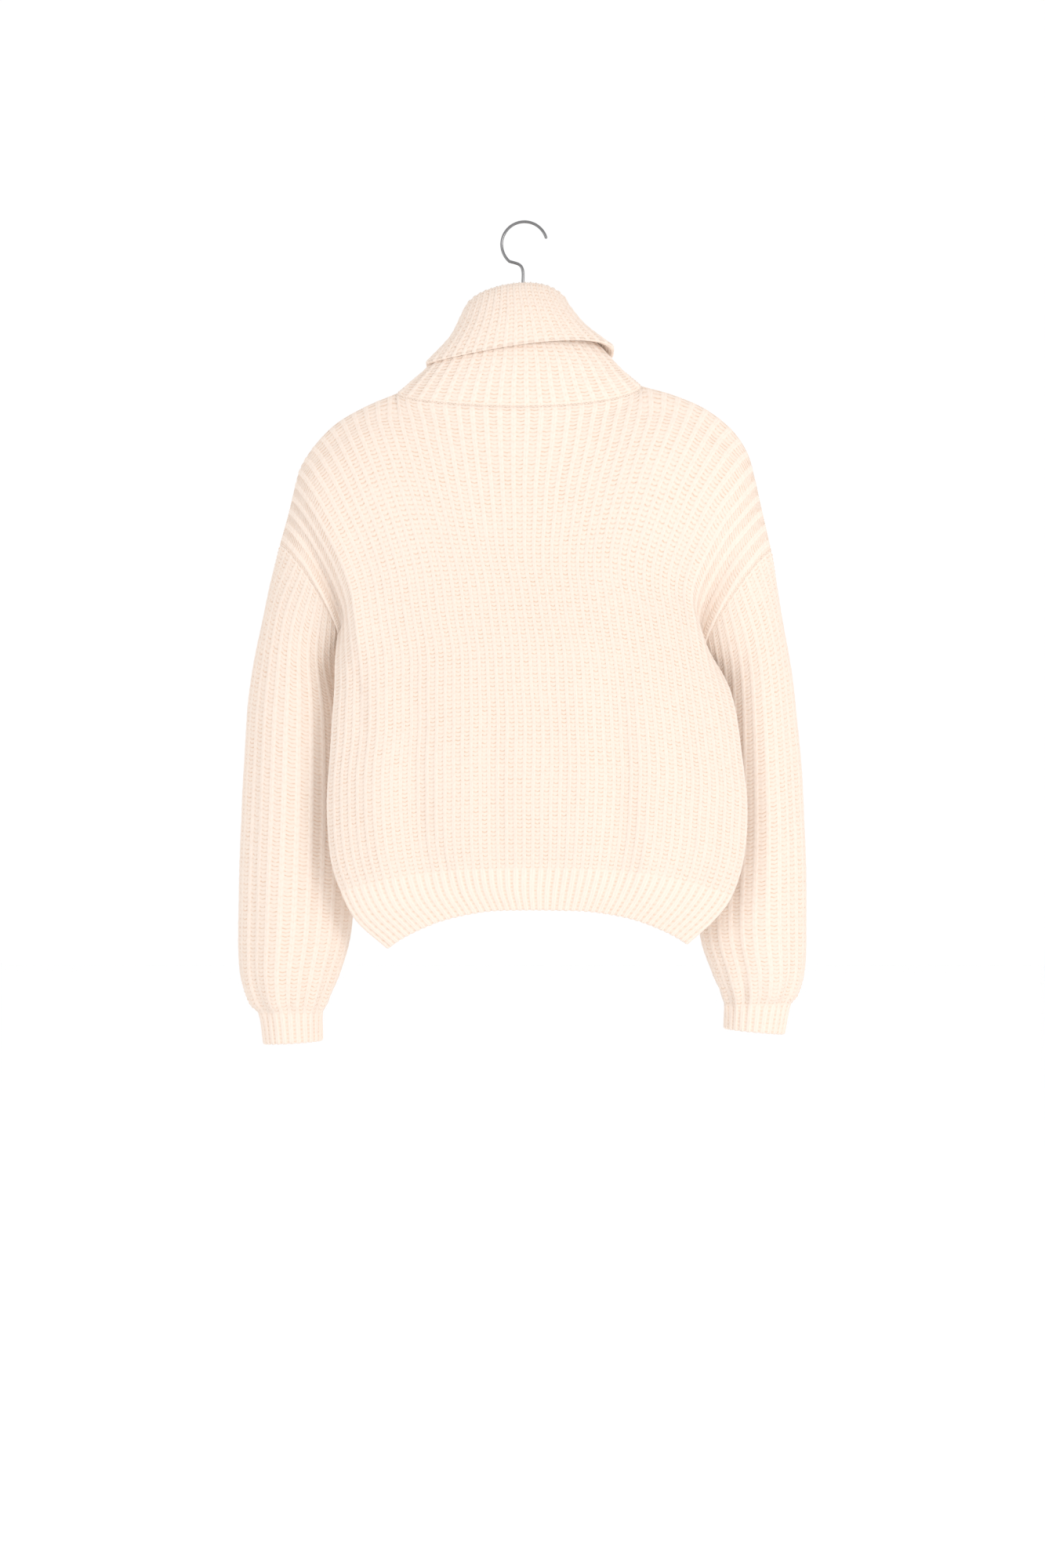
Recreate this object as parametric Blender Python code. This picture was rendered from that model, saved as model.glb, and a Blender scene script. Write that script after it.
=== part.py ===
"""A chunky rib-knit sweater with a folded roll neck, hung on a plain hanger and seen from its back.

The frame is the hook's: the origin is the inside top of the wire hook, +Z is up, the garment's
back faces -Y and its front faces +Y. Lengths below are in millimetres until they become points.
"""

from collections import namedtuple

import bmesh
import bpy
import numpy as np

MM = 0.001

# Knit and cloth
WALL = 4.0
RIB_RISE = 1.7
SIDE_RIB_SHARE = 0.5
SEAM_GAP = 0.36
THIN_WALL = 1.0
THIN_WALES = 0.05
THIN_ROWS = 0.6
THIN_SLEEVE_ROWS = 0.7
UNDERARM_GAP = 2.5
OWN_ROWS = 1.5
PANEL_RIBS = 50
NECK_RIBS = 20
SLEEVE_RIBS = 26
SHANK_X = -1.7

# Hanger and hook
BAR_RADIUS = 6.5
BAR_SEAT_GAP = 0.35
BAR_TIP_WALE = 0.68
BAR_NECK_CLEAR = 0.10
BAR_NECK_DROP = 5.0
BAR_TOP_Z = -160.0
BAR_BRIDGE_POINTS = 17
BAR_TIP_REACH = (1.0, 0.7)
BAR_TIP_RADII = (0.35, 0.8)
BAR_FACES = 4
WIRE_RADIUS = 1.6
HOOK_RADIUS = 24.6
HOOK_TIP_ANGLE = 18.0
HOOK_TURN_ANGLE = 228.0
HOOK_LOOP_POINTS = 26
HOOK_BEND = [(-5.5, 0.0, -45.0), (SHANK_X, 0.0, -52.0), (SHANK_X, 0.0, -66.0)]
HOOK_BEND_POINTS = 10
HOOK_FACES = 2

# Each course row of the body below the armholes: the height of its middle at the back, the two
# side folds, how far the cloth stands out to the back and to the front, and how far each side's
# fold lies from the hanger's plane. Tuck columns carry the seam in behind the side fold.
BodyRow = namedtuple(
    "BodyRow",
    "mid_z left_x left_z right_x right_z back_y front_y back_fold_y front_fold_y seam_y"
    " tuck_x tuck_z front_inset",
)
BODY_ROWS = [
    BodyRow(-387, -216, -418, 213, -432, -58, 56, -26, 22, 3, 15, -28, 13),
    BodyRow(-463, -205, -494, 225, -505, -62, 52, -25, -16, -20, 2, -3, 7),
    BodyRow(-531, -206, -560, 235, -569, -63, 48, -24, -24, -24, 0, 0, 0),
    BodyRow(-599, -211, -626, 242, -632, -62, 46, -22, -22, -22, 0, 0, 0),
    BodyRow(-659, -208, -684, 238, -686, -58, 42, -20, -20, -20, 0, 0, 0),
    BodyRow(-697, -197, -722, 226, -727, -52, 37, -17, -17, -17, 0, 0, 0),
    BodyRow(-722, -180, -756, 207, -754, -44, 31, -13, -13, -13, 0, 0, 0),
    BodyRow(-742, -148, -785, 179, -780, -36, 26, -8, -8, -8, 0, 0, 0),
]
COURSE_SAG = 2.8
FRONT_HEM_LIFT = 5.0
BACK_FULLNESS = 0.95
FRONT_FULLNESS = 1.5
TUCK_WALE = 0.80
STILL_WALE = 0.90
FOLD_FADE = 1.3
RING_ROUND = 1.15

# Shoulder silhouettes, from the armhole's top up to the neck corner
ShoulderPoint = namedtuple("ShoulderPoint", "x z")
LEFT_SHOULDER = [
    ShoulderPoint(-263, -348),
    ShoulderPoint(-254, -316),
    ShoulderPoint(-246, -283),
    ShoulderPoint(-239, -262),
    ShoulderPoint(-222, -237),
    ShoulderPoint(-200, -216),
    ShoulderPoint(-170, -199),
    ShoulderPoint(-137, -185),
]
RIGHT_SHOULDER = [
    ShoulderPoint(269, -355),
    ShoulderPoint(260, -316),
    ShoulderPoint(251, -276),
    ShoulderPoint(243, -249),
    ShoulderPoint(226, -224),
    ShoulderPoint(198, -202),
    ShoulderPoint(164, -187),
    ShoulderPoint(129, -177),
]

# Collar rings, from the neck seam up the under layer, over the fold and down the turned-over
# layer. Each lies on the middle of the cloth.
Ring = namedtuple("Ring", "left_x right_x back_y front_y back_z left_z right_z front_z")
NECK_RING = Ring(-137, 129, -40, 50, -202, -185, -177, -246)
COLLAR_SHOWN_ROW = 2
COLLAR_FOLD_ROW = 5
COLLAR_RINGS = [
    Ring(-121, 113, -37, 54, -176, -174, -166, -222),
    Ring(-105, 99, -34, 59, -150, -162, -154, -200),
    Ring(-85, 76, -30, 63, -122, -143, -129, -178),
    Ring(-67, 60, -21, 68, -88, -116, -103, -154),
    Ring(-60, 52, -13, 74, -71, -101, -91, -142),
    Ring(-64, 57, -18, 80, -67, -98, -87, -138),
    Ring(-71, 64, -26, 82, -76, -104, -94, -143),
    Ring(-83, 79, -35, 80, -100, -127, -112, -162),
    Ring(-103, 99, -43, 76, -128, -152, -136, -186),
]

# Sleeve rings below the armhole: the outer and inner silhouettes, the middle's distance from the
# hanger's plane and the half depth.
SleeveRing = namedtuple("SleeveRing", "outer_x outer_z inner_x inner_z mid_y half_y")
LEFT_SLEEVE = [
    SleeveRing(-279, -412, -204, -490, 31, 35),
    SleeveRing(-297, -506, -188, -549, 38, 43),
    SleeveRing(-306, -633, -183, -659, 44, 45),
    SleeveRing(-310, -761, -188, -762, 45, 44),
    SleeveRing(-308, -814, -200, -812, 44, 40),
    SleeveRing(-298, -845, -212, -843, 43, 33),
    SleeveRing(-288, -859, -219, -858, 42, 27),
    SleeveRing(-283, -890, -220, -886, 41, 26),
]
RIGHT_SLEEVE = [
    SleeveRing(281, -421, 208, -500, 34, 35),
    SleeveRing(295, -506, 206, -549, 40, 43),
    SleeveRing(306, -633, 200, -659, 48, 45),
    SleeveRing(309, -761, 194, -762, 48, 44),
    SleeveRing(307, -812, 207, -812, 46, 40),
    SleeveRing(299, -836, 217, -836, 45, 33),
    SleeveRing(291, -849, 221, -850, 44, 27),
    SleeveRing(285, -879, 221, -873, 43, 26),
]

# Soft folds of the body: the wale each one follows from its top to its foot, the rows between
# which it fades in and out, its width in wales and how far it stands out (hollows are negative).
Fold = namedtuple("Fold", "top_wale foot_wale start end width rise")
BACK_FOLDS = [
    Fold(-0.60, -0.50, 1.6, 7.4, 0.075, -6.5),
    Fold(-0.22, -0.17, 2.2, 7.0, 0.060, -3.0),
    Fold(0.36, 0.40, 1.8, 7.4, 0.070, -7.5),
    Fold(0.66, 0.74, 2.2, 7.4, 0.065, -4.0),
    Fold(-0.76, -0.70, 1.8, 7.2, 0.080, 4.0),
    Fold(0.18, 0.22, 1.8, 7.2, 0.090, 4.0),
    Fold(-0.95, -0.93, 0.15, 1.2, 0.045, -9.0),
    Fold(0.95, 0.93, 0.15, 1.2, 0.045, -9.0),
    Fold(-0.83, -0.82, 0.20, 2.0, 0.060, 6.0),
    Fold(0.83, 0.82, 0.20, 2.0, 0.060, 5.0),
]
FRONT_FOLDS = [
    Fold(-0.42, -0.36, 1.5, 7.4, 0.080, -6.0),
    Fold(0.08, 0.04, 2.0, 7.0, 0.070, -4.0),
    Fold(0.55, 0.50, 1.6, 7.4, 0.075, -6.5),
    Fold(-0.16, -0.12, 1.8, 7.2, 0.090, 4.0),
    Fold(0.30, 0.28, 2.0, 7.2, 0.090, 4.0),
]

# Rows of each mesh, as places along the tables above
UPPER_ROWS = [0.0, 0.06, 0.17, 0.33, 0.54, 0.77, 1.0]
LOWER_ROWS = [0.8, 1.6, 2.4, 3.2, 4.0, 5.0, 6.0, 7.0]
SLEEVE_ROWS = [0.0, 0.45, 1.0, 1.6, 2.2, 2.9, 3.6, 4.3, 5.0, 6.0, 7.0, 8.0]

# Points along the smooth lines that ribs are spread over
NECK_STEPS = 400
SHOULDER_STEPS = 200
COURSE_STEPS = 600

UNDERARM = len(UPPER_ROWS) - 1
NECK_COLUMNS = slice(PANEL_RIBS - NECK_RIBS, PANEL_RIBS + NECK_RIBS + 1)

# The first run of each wale, as shares of its length: across the shoulder, at the armhole and below
# the neck, then its last run to the underarm row
RIDGE_INWARD = 0.12
RIDGE_OUTWARD = 0.78
SEAM_INWARD = 0.35
SEAM_BACK = 0.9
SEAM_FRONT = 1.3
SEAM_ROUND = 0.7
SEAM_WALE = 0.78
NECK_OUTWARD = 0.25
NECK_DROP = 0.9
UNDERARM_RUN = 0.8
GUSSET_WALE = 0.86
GUSSET_DROP = 0.45
NECK_BLEND_START = 0.28
NECK_BLEND = 0.16

CREAM = (0.93, 0.83, 0.72, 1.0)
PALE_WOOD = (0.55, 0.38, 0.22, 1.0)
STEEL = (0.62, 0.62, 0.63, 1.0)
KNIT_ROUGHNESS = 0.95
BAR_ROUGHNESS = 0.3


def unit(vectors):
    """Vectors of length one."""
    return vectors / np.maximum(np.linalg.norm(vectors, axis=-1, keepdims=True), 1e-9)


def ease(values):
    """A smooth step from 0 to 1."""
    values = np.clip(values, 0.0, 1.0)
    return values * values * (3 - 2 * values)


def along(points):
    """The distance run along a line of points, from its first one."""
    steps = np.linalg.norm(np.diff(points, axis=0), axis=1)
    return np.concatenate([[0.0], np.cumsum(steps)])


def at_shares(points, shares):
    """Points at given shares of a polyline's length."""
    run = along(points)
    return np.stack([np.interp(shares * run[-1], run, points[:, k]) for k in range(3)], axis=1)


def curve_through(stations, places):
    """Catmull-Rom rows between the stations, one for each place."""
    stations = np.asarray(stations, float)
    last = len(stations) - 1
    slopes = np.gradient(stations, axis=0)
    rows = []
    for place in places:
        low = int(min(max(np.floor(place), 0), last - 1))
        t = place - low
        rows.append(
            (2 * t**3 - 3 * t**2 + 1) * stations[low]
            + (t**3 - 2 * t**2 + t) * slopes[low]
            + (3 * t**2 - 2 * t**3) * stations[low + 1]
            + (t**3 - t**2) * slopes[low + 1]
        )
    return np.array(rows)


def rows_at(points, places):
    """Points on straight runs between the rows of an edge."""
    low = np.minimum(np.floor(places).astype(int), len(points) - 2)
    share = (places - low)[:, None]
    return points[low] * (1 - share) + points[low + 1] * share


def around(back_half, front_half):
    """A closed loop: the back half, then the front half the other way, sharing their two ends."""
    loop = np.concatenate([back_half, front_half[-2:0:-1]])
    loop[0] = (back_half[0] + front_half[0]) / 2
    loop[len(back_half) - 1] = (back_half[-1] + front_half[-1]) / 2
    return loop


def back_round(ring, half):
    """The front half of a closed ring, from its first point round to the middle one."""
    return np.concatenate([ring[:1], ring[: half - 1 : -1]])


def apportion(lengths, total):
    """Even numbers in the ratio of the lengths, at least 2 each, that add up to the total."""
    wanted = np.asarray(lengths) / sum(lengths) * total
    counts = np.maximum(np.floor(wanted / 2).astype(int), 1) * 2
    while counts.sum() < total:
        counts[np.argmax(wanted - counts)] += 2
    while counts.sum() > total:
        counts[np.argmax(np.where(counts > 2, counts - wanted, -np.inf))] -= 2
    return counts


def ring_point(ring, angles):
    """Points of an oval ring: angle 0 is its left side, pi / 2 its back and pi its right side."""
    middle = (ring.left_x + ring.right_x) / 2
    half = (ring.right_x - ring.left_x) / 2
    x = middle - half * np.cos(angles)
    back = np.sin(angles)
    reach = np.where(back > 0, ring.back_y, -ring.front_y)
    side_z = ring.left_z + (ring.right_z - ring.left_z) * (1 - np.cos(angles)) / 2
    end_z = np.where(back > 0, ring.back_z, ring.front_z)
    z = side_z + (end_z - side_z) * np.abs(back) ** RING_ROUND
    return np.stack([x, reach * back, z], axis=-1)


def neck_angles(side):
    """Angles of the neck seam's points along one panel: side -1 is the back, 1 the front."""
    shares = np.linspace(0, 1, 2 * NECK_RIBS + 1)
    dense = np.linspace(0, np.pi, NECK_STEPS)
    run = along(ring_point(NECK_RING, -side * dense))
    return -side * np.interp(shares * run[-1], run, dense)


def shoulder_line(table):
    """A smooth shoulder line, from the armhole to the neck corner, evenly spread over its ribs."""
    points = np.array([(p.x, 0.0, p.z) for p in table], float)
    dense = curve_through(points, np.linspace(0, len(points) - 1, SHOULDER_STEPS))
    return at_shares(dense, np.linspace(0, 1, PANEL_RIBS - NECK_RIBS + 1))


def top_edge(side):
    """The panel's top edge: left shoulder, its half of the neck seam, right shoulder."""
    left = shoulder_line(LEFT_SHOULDER)
    right = shoulder_line(RIGHT_SHOULDER)[::-1]
    neck = ring_point(NECK_RING, neck_angles(side))
    return np.concatenate([left[:-1], neck, right[1:]])


def course(row, side):
    """One row of stitches across a panel, evenly spread over its ribs."""
    middle = (row.left_x + row.right_x) / 2
    inset = 0.0 if side < 0 else row.front_inset
    half = (row.right_x - row.left_x) / 2 - inset
    reach = row.back_y if side < 0 else row.front_y
    fold_y = row.back_fold_y if side < 0 else row.front_fold_y
    angles = np.linspace(0, np.pi, COURSE_STEPS)
    x = middle - half * np.cos(angles)
    fullness = BACK_FULLNESS if side < 0 else FRONT_FULLNESS
    y = fold_y + (reach - fold_y) * np.sin(angles) ** fullness
    edge_z = np.where(x < middle, row.left_z, row.right_z)
    mid_z = row.mid_z + (FRONT_HEM_LIFT if side > 0 else 0.0)
    z = mid_z + (edge_z - mid_z) * np.abs(np.cos(angles)) ** COURSE_SAG
    points = at_shares(np.stack([x, y, z], axis=1), np.linspace(0, 1, 2 * PANEL_RIBS + 1))
    wales = np.linspace(-1, 1, 2 * PANEL_RIBS + 1)
    tuck = ease((np.abs(wales) - TUCK_WALE) / (1 - TUCK_WALE))
    points[:, 0] -= np.sign(wales) * tuck * (row.tuck_x - inset)
    points[:, 1] += tuck * (row.seam_y - fold_y)
    points[:, 2] += tuck * row.tuck_z
    return points


def fold_offsets(folds, wales, place):
    """How far the folds push one row of the cloth out."""
    total = np.zeros_like(wales)
    for fold in folds:
        share = np.clip((place - fold.start) / (fold.end - fold.start), 0, 1)
        line = fold.top_wale + (fold.foot_wale - fold.top_wale) * share
        across = np.exp(-(((wales - line) / fold.width) ** 2))
        total += fold.rise * np.sin(np.pi * share) ** FOLD_FADE * across
    return total


def panel(side):
    """The outer points of the back (side -1) or the front (side 1), row by row from the top."""
    wales = np.linspace(-1, 1, 2 * PANEL_RIBS + 1)
    top = top_edge(side)
    rows = np.array([course(row, side) for row in BODY_ROWS])
    length = np.linalg.norm(rows[0] - top, axis=1)[:, None]
    edge = np.gradient(top, axis=0)
    inward = unit(np.stack([edge[:, 2], np.zeros(len(top)), -edge[:, 0]], axis=1))
    outward = np.array([0.0, side, 0.0])
    neck_share = ease((np.abs(wales) - NECK_BLEND_START) / NECK_BLEND)[:, None]
    seam_share = ease((np.abs(wales) - SEAM_WALE) / (1 - SEAM_WALE))[:, None]
    ridge = RIDGE_INWARD * inward + RIDGE_OUTWARD * outward
    seam = SEAM_INWARD * inward + (SEAM_BACK if side < 0 else SEAM_FRONT) * outward
    below_neck = np.array([0.0, side * NECK_OUTWARD, -NECK_DROP])
    start = ridge * (1 - seam_share) + seam * seam_share
    start = below_neck * (1 - neck_share) + start * neck_share
    start = start * length
    gusset = ease((np.abs(wales) - GUSSET_WALE) / (1 - GUSSET_WALE))[:, None]
    end = unit(rows[1] - rows[0]) * (1 - gusset) * UNDERARM_RUN
    end = (end + gusset * np.array([0.0, -side * SEAM_ROUND, -GUSSET_DROP])) * length
    grid = []
    for t in UPPER_ROWS:
        grid.append(
            (2 * t**3 - 3 * t**2 + 1) * top
            + (t**3 - 2 * t**2 + t) * start
            + (3 * t**2 - 2 * t**3) * rows[0]
            + (t**3 - t**2) * end
        )
    grid = np.concatenate([grid, curve_through(rows, LOWER_ROWS)])
    places = UPPER_ROWS + [1 + place for place in LOWER_ROWS]
    folds = BACK_FOLDS if side < 0 else FRONT_FOLDS
    still = 1 - ease((np.abs(wales) - STILL_WALE) / (1 - STILL_WALE))
    for row, place in zip(grid, places):
        row[:, 1] += side * still * fold_offsets(folds, wales, place)
    return grid


def armhole_weights(back_edge):
    """For each sleeve column of one half of the armhole: the panel row it starts from, as a place."""
    counts = apportion(np.linalg.norm(np.diff(back_edge, axis=0), axis=1), SLEEVE_RIBS)
    places = [0.0]
    for row, count in enumerate(counts):
        places.extend(row + (k + 1) / count for k in range(count))
    return np.array(places)


def sleeve(rings, armhole):
    """The outer points of a sleeve, ring by ring from the armhole to the cuff."""
    turn = np.linspace(0, 2 * np.pi, len(armhole), endpoint=False)
    stations = [armhole]
    for ring in rings:
        x = (ring.outer_x + ring.inner_x) / 2 + (ring.outer_x - ring.inner_x) / 2 * np.cos(turn)
        z = (ring.outer_z + ring.inner_z) / 2 + (ring.outer_z - ring.inner_z) / 2 * np.cos(turn)
        y = ring.mid_y - ring.half_y * np.sin(turn)
        stations.append(np.stack([x, y, z], axis=1))
    return curve_through(stations, SLEEVE_ROWS)


def sleeve_grid(grids, column):
    """A sleeve's rings and the panel rows at which each of its columns starts."""
    rings = LEFT_SLEEVE if column == 0 else RIGHT_SLEEVE
    edges = {side: grids[side][: UNDERARM + 1, column] for side in (-1, 1)}
    places = {side: armhole_weights(edges[side]) for side in (-1, 1)}
    armhole = around(*(rows_at(edges[side], places[side]) for side in (-1, 1)))
    return sleeve(rings, armhole), places


def collar_grid(neck):
    """The middle of the collar's cloth, ring by ring from the neck seam to the turned-over edge."""
    angles = np.concatenate([neck_angles(-1), neck_angles(1)[-2:0:-1]])
    return np.array([neck] + [ring_point(ring, angles) for ring in COLLAR_RINGS])


def normals(grid, above, left, right):
    """Unit normals of a grid, given its neighbours beyond the top row and the two side columns."""
    tall = np.concatenate([above[None], grid, 2 * grid[-1:] - grid[-2:-1]])
    wide = np.concatenate([left[:, None], grid, right[:, None]], axis=1)
    down = tall[2:] - tall[:-2]
    across = wide[:, 2:] - wide[:, :-2]
    return unit(np.cross(down, across))


def tube_normals(grid, above, sign):
    """Unit normals of a tube of closed rings, given the ring before its first."""
    following = np.roll(grid, -1, axis=1) - np.roll(grid, 1, axis=1)
    tall = np.concatenate([above[None], grid, 2 * grid[-1:] - grid[-2:-1]])
    return unit(np.cross(tall[2:] - tall[:-2], following)) * sign


def inward_steps(edge, beside, out):
    """Half a seam gap for each point of an edge: across the edge, in the cloth, towards its inside."""
    across = unit(np.cross(np.gradient(edge, axis=0), out))
    facing = np.sign(np.sum(across * (beside - edge)))
    return across * facing * SEAM_GAP / 2


def underarm_share(places):
    """How far each piece turns to its own wall near the end of the armhole, by the panel's row."""
    return np.exp(-(((places - UNDERARM) / OWN_ROWS) ** 2))


def near_underarm():
    """For each row of a panel, how near it is to the end of the armhole: 1 there, then less."""
    places = np.array(UPPER_ROWS + [1 + place for place in LOWER_ROWS])
    return np.exp(-(((places - 1) / THIN_ROWS) ** 2))


def panel_walls():
    """The wall of each point of a panel: the seams under the arms are pressed thin."""
    wales = np.linspace(-1, 1, 2 * PANEL_RIBS + 1)
    near_seam = np.exp(-(((np.abs(wales) - 1) / THIN_WALES) ** 2))
    return (WALL - (WALL - THIN_WALL) * near_underarm()[:, None] * near_seam)[:, :, None]


def rib_heights(rows, columns, seam_rows):
    """How far the ribs stand out at each point: every second column, and none on a seam."""
    heights = np.zeros((rows, columns))
    heights[:, 1::2] = RIB_RISE
    heights[seam_rows] = 0.0
    return heights[:, :, None]


def material(name, colour, roughness, metallic):
    """A Principled material of one colour."""
    made = bpy.data.materials.new(name)
    made.use_nodes = True
    shader = made.node_tree.nodes["Principled BSDF"]
    shader.inputs["Base Color"].default_value = colour
    shader.inputs["Roughness"].default_value = roughness
    shader.inputs["Metallic"].default_value = metallic
    made.diffuse_color = colour
    return made


def rim_faces(outer, inner):
    """Faces between two edges of a wall: a fan from each second outer point over its neighbours."""
    each = 2 * (len(inner) - 1) // (len(outer) - 1)
    faces = []
    for k in range(0, len(outer) - 1, 2):
        near = inner[k * each // 2 : (k // 2 + 1) * each + 1]
        faces.append((outer[k], outer[k + 1], near[0]))
        faces.extend((outer[k + 1], late, early) for early, late in zip(near[:-1], near[1:]))
        faces.append((outer[k + 1], outer[k + 2], near[-1]))
    return faces


def cloth_object(name, outer, inner, closed, colour):
    """A closed cloth wall from its outer and inner grids of points."""
    mesh = bpy.data.meshes.new(name)
    form = bmesh.new()
    grids = []
    for grid in (outer, inner):
        points = grid + np.array([SHANK_X, 0.0, 0.0])
        grids.append([[form.verts.new(p * MM) for p in row] for row in points])
    for rows in grids:
        for upper, lower in zip(rows[:-1], rows[1:]):
            steps = range(len(upper) if closed else len(upper) - 1)
            for k in steps:
                n = (k + 1) % len(upper)
                form.faces.new((upper[k], upper[n], lower[n], lower[k]))
    for end in (0, -1):
        edges = [rows[end] + (rows[end][:1] if closed else []) for rows in grids]
        for face in rim_faces(*edges):
            form.faces.new(face)
    if not closed:
        for side in (0, -1):
            outside = [row[side] for row in grids[0]]
            inside = [row[side] for row in grids[1]]
            for k in range(len(outside) - 1):
                form.faces.new((outside[k], outside[k + 1], inside[k + 1], inside[k]))
    bmesh.ops.recalc_face_normals(form, faces=form.faces)
    form.to_mesh(mesh)
    form.free()
    mesh.materials.append(material(name + "_knit", colour, KNIT_ROUGHNESS, 0.0))
    found = bpy.data.objects.new(name, mesh)
    bpy.context.collection.objects.link(found)
    return found


def wire_object(name, points, radii, depth, resolution, colour, metallic):
    """A round bar along a line of points, with a radius share for each point."""
    line = bpy.data.curves.new(name, "CURVE")
    line.dimensions = "3D"
    line.bevel_depth = depth * MM
    line.bevel_resolution = resolution
    line.use_fill_caps = True
    spline = line.splines.new("POLY")
    spline.points.add(len(points) - 1)
    for spot, point, radius in zip(spline.points, points, radii):
        spot.co = (*(point * MM), 1.0)
        spot.radius = radius
    line.materials.append(material(name + "_finish", colour, BAR_ROUGHNESS, metallic))
    found = bpy.data.objects.new(name, line)
    bpy.context.collection.objects.link(found)
    return found


def build_panels():
    """The back and the front with their normals and the seams that the other pieces share."""
    grids = {-1: panel(-1), 1: panel(1)}
    neck = around(grids[-1][0, NECK_COLUMNS], grids[1][0, NECK_COLUMNS])
    collar = collar_grid(neck)
    sleeves = {column: sleeve_grid(grids, column) for column in (0, -1)}
    out, steps = {}, {}
    for side in (-1, 1):
        grid, other = grids[side], grids[-side]
        above = other[1].copy()
        ring = collar[1]
        half = 2 * NECK_RIBS
        above[NECK_COLUMNS] = ring[: half + 1] if side < 0 else back_round(ring, half)
        for corner in (NECK_COLUMNS.start, NECK_COLUMNS.stop - 1):
            above[corner] = (above[corner] + other[1, corner]) / 2
        beyond = []
        for column, inside in ((0, 1), (-1, -2)):
            rings, places = sleeves[column]
            half_ring = rings[1][: SLEEVE_RIBS + 1] if side < 0 else back_round(rings[1], SLEEVE_RIBS)
            nearest = [half_ring[np.argmin(abs(places[side] - row))] for row in range(UNDERARM)]
            beyond.append(np.concatenate([nearest, other[UNDERARM:, inside]]))
        out[side] = normals(grid, above, *beyond) * -side
        own = normals(grid, above, 2 * grid[:, 0] - grid[:, 1], 2 * grid[:, -1] - grid[:, -2]) * -side
        share = underarm_share(np.arange(UNDERARM))[:, None]
        for column in (0, -1):
            armhole = out[side][:UNDERARM, column]
            armhole[:] = unit(armhole * (1 - share) + own[:UNDERARM, column] * share)
        wider = 1 + UNDERARM_GAP * near_underarm()[:, None]
        steps[side] = {
            "top": inward_steps(grid[0], grid[1], out[side][0]),
            0: inward_steps(grid[:, 0], grid[:, 1], out[side][:, 0]) * wider,
            -1: inward_steps(grid[:, -1], grid[:, -2], out[side][:, -1]) * wider,
        }
    for corner in (NECK_COLUMNS.start, NECK_COLUMNS.stop - 1):
        shared = unit(out[-1][0, corner] + out[1][0, corner])
        out[-1][0, corner] = out[1][0, corner] = shared
    for row, column in ((0, 0), (0, -1), (UNDERARM, 0), (UNDERARM, -1)):
        shared = unit(out[-1][row, column] + out[1][row, column])
        out[-1][row, column] = out[1][row, column] = shared
    walls = panel_walls()
    for side, name in ((-1, "back"), (1, "front")):
        grid = grids[side].copy()
        grid[0] += steps[side]["top"]
        grid[:, 0] += steps[side][0]
        grid[:, -1] += steps[side][-1]
        heights = rib_heights(*grid.shape[:2], [0])
        heights[:, [0, 1, -2, -1]] *= SIDE_RIB_SHARE
        inner = (grid - out[side] * walls)[:, ::2]
        cloth_object(name, grid + out[side] * heights, inner, False, CREAM)
    return grids, out, steps, collar, sleeves


def build_sleeves(grids, out, steps, sleeves):
    """Both sleeves, each sewn to the panels' armhole edges."""
    for column, inside, name, sign in ((0, 1, "sleeve_left", 1), (-1, -2, "sleeve_right", -1)):
        grid, places = sleeves[column]
        halves = {
            key: around(*(rows_at(source[side][: UNDERARM + 1], places[side]) for side in (-1, 1)))
            for key, source in (
                ("near", {side: grids[side][:, inside] for side in (-1, 1)}),
                ("step", {side: steps[side][column] for side in (-1, 1)}),
                ("wall", {side: panel_walls()[:, column] for side in (-1, 1)}),
                ("depth", {side: (out[side] * panel_walls())[:, column] for side in (-1, 1)}),
            )
        }
        away = tube_normals(grid, halves["near"], sign)
        grid = grid.copy()
        underarm = SLEEVE_RIBS
        grid[0] -= halves["step"]
        grid[0, underarm] += unit(grid[1, underarm] - grid[0, underarm]) * SEAM_GAP * UNDERARM_GAP
        grid[0, 0] += unit(grid[1, 0] - grid[0, 0]) * SEAM_GAP / 2
        heights = rib_heights(*grid.shape[:2], [0])
        fade = np.exp(-((np.array(SLEEVE_ROWS) / THIN_SLEEVE_ROWS) ** 2))[:, None, None]
        walls = WALL - (WALL - halves["wall"][None]) * fade
        depths = away * walls
        own = tube_normals(sleeves[column][0], 2 * sleeves[column][0][0] - sleeves[column][0][1], sign)
        share = around(underarm_share(places[-1]), underarm_share(places[1]))[:, None]
        depths[0] = halves["depth"] * (1 - share) + own[0] * walls[0] * share
        inner = (grid - depths)[:, ::2]
        cloth_object(name, grid + away * heights, inner, True, CREAM)


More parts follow.
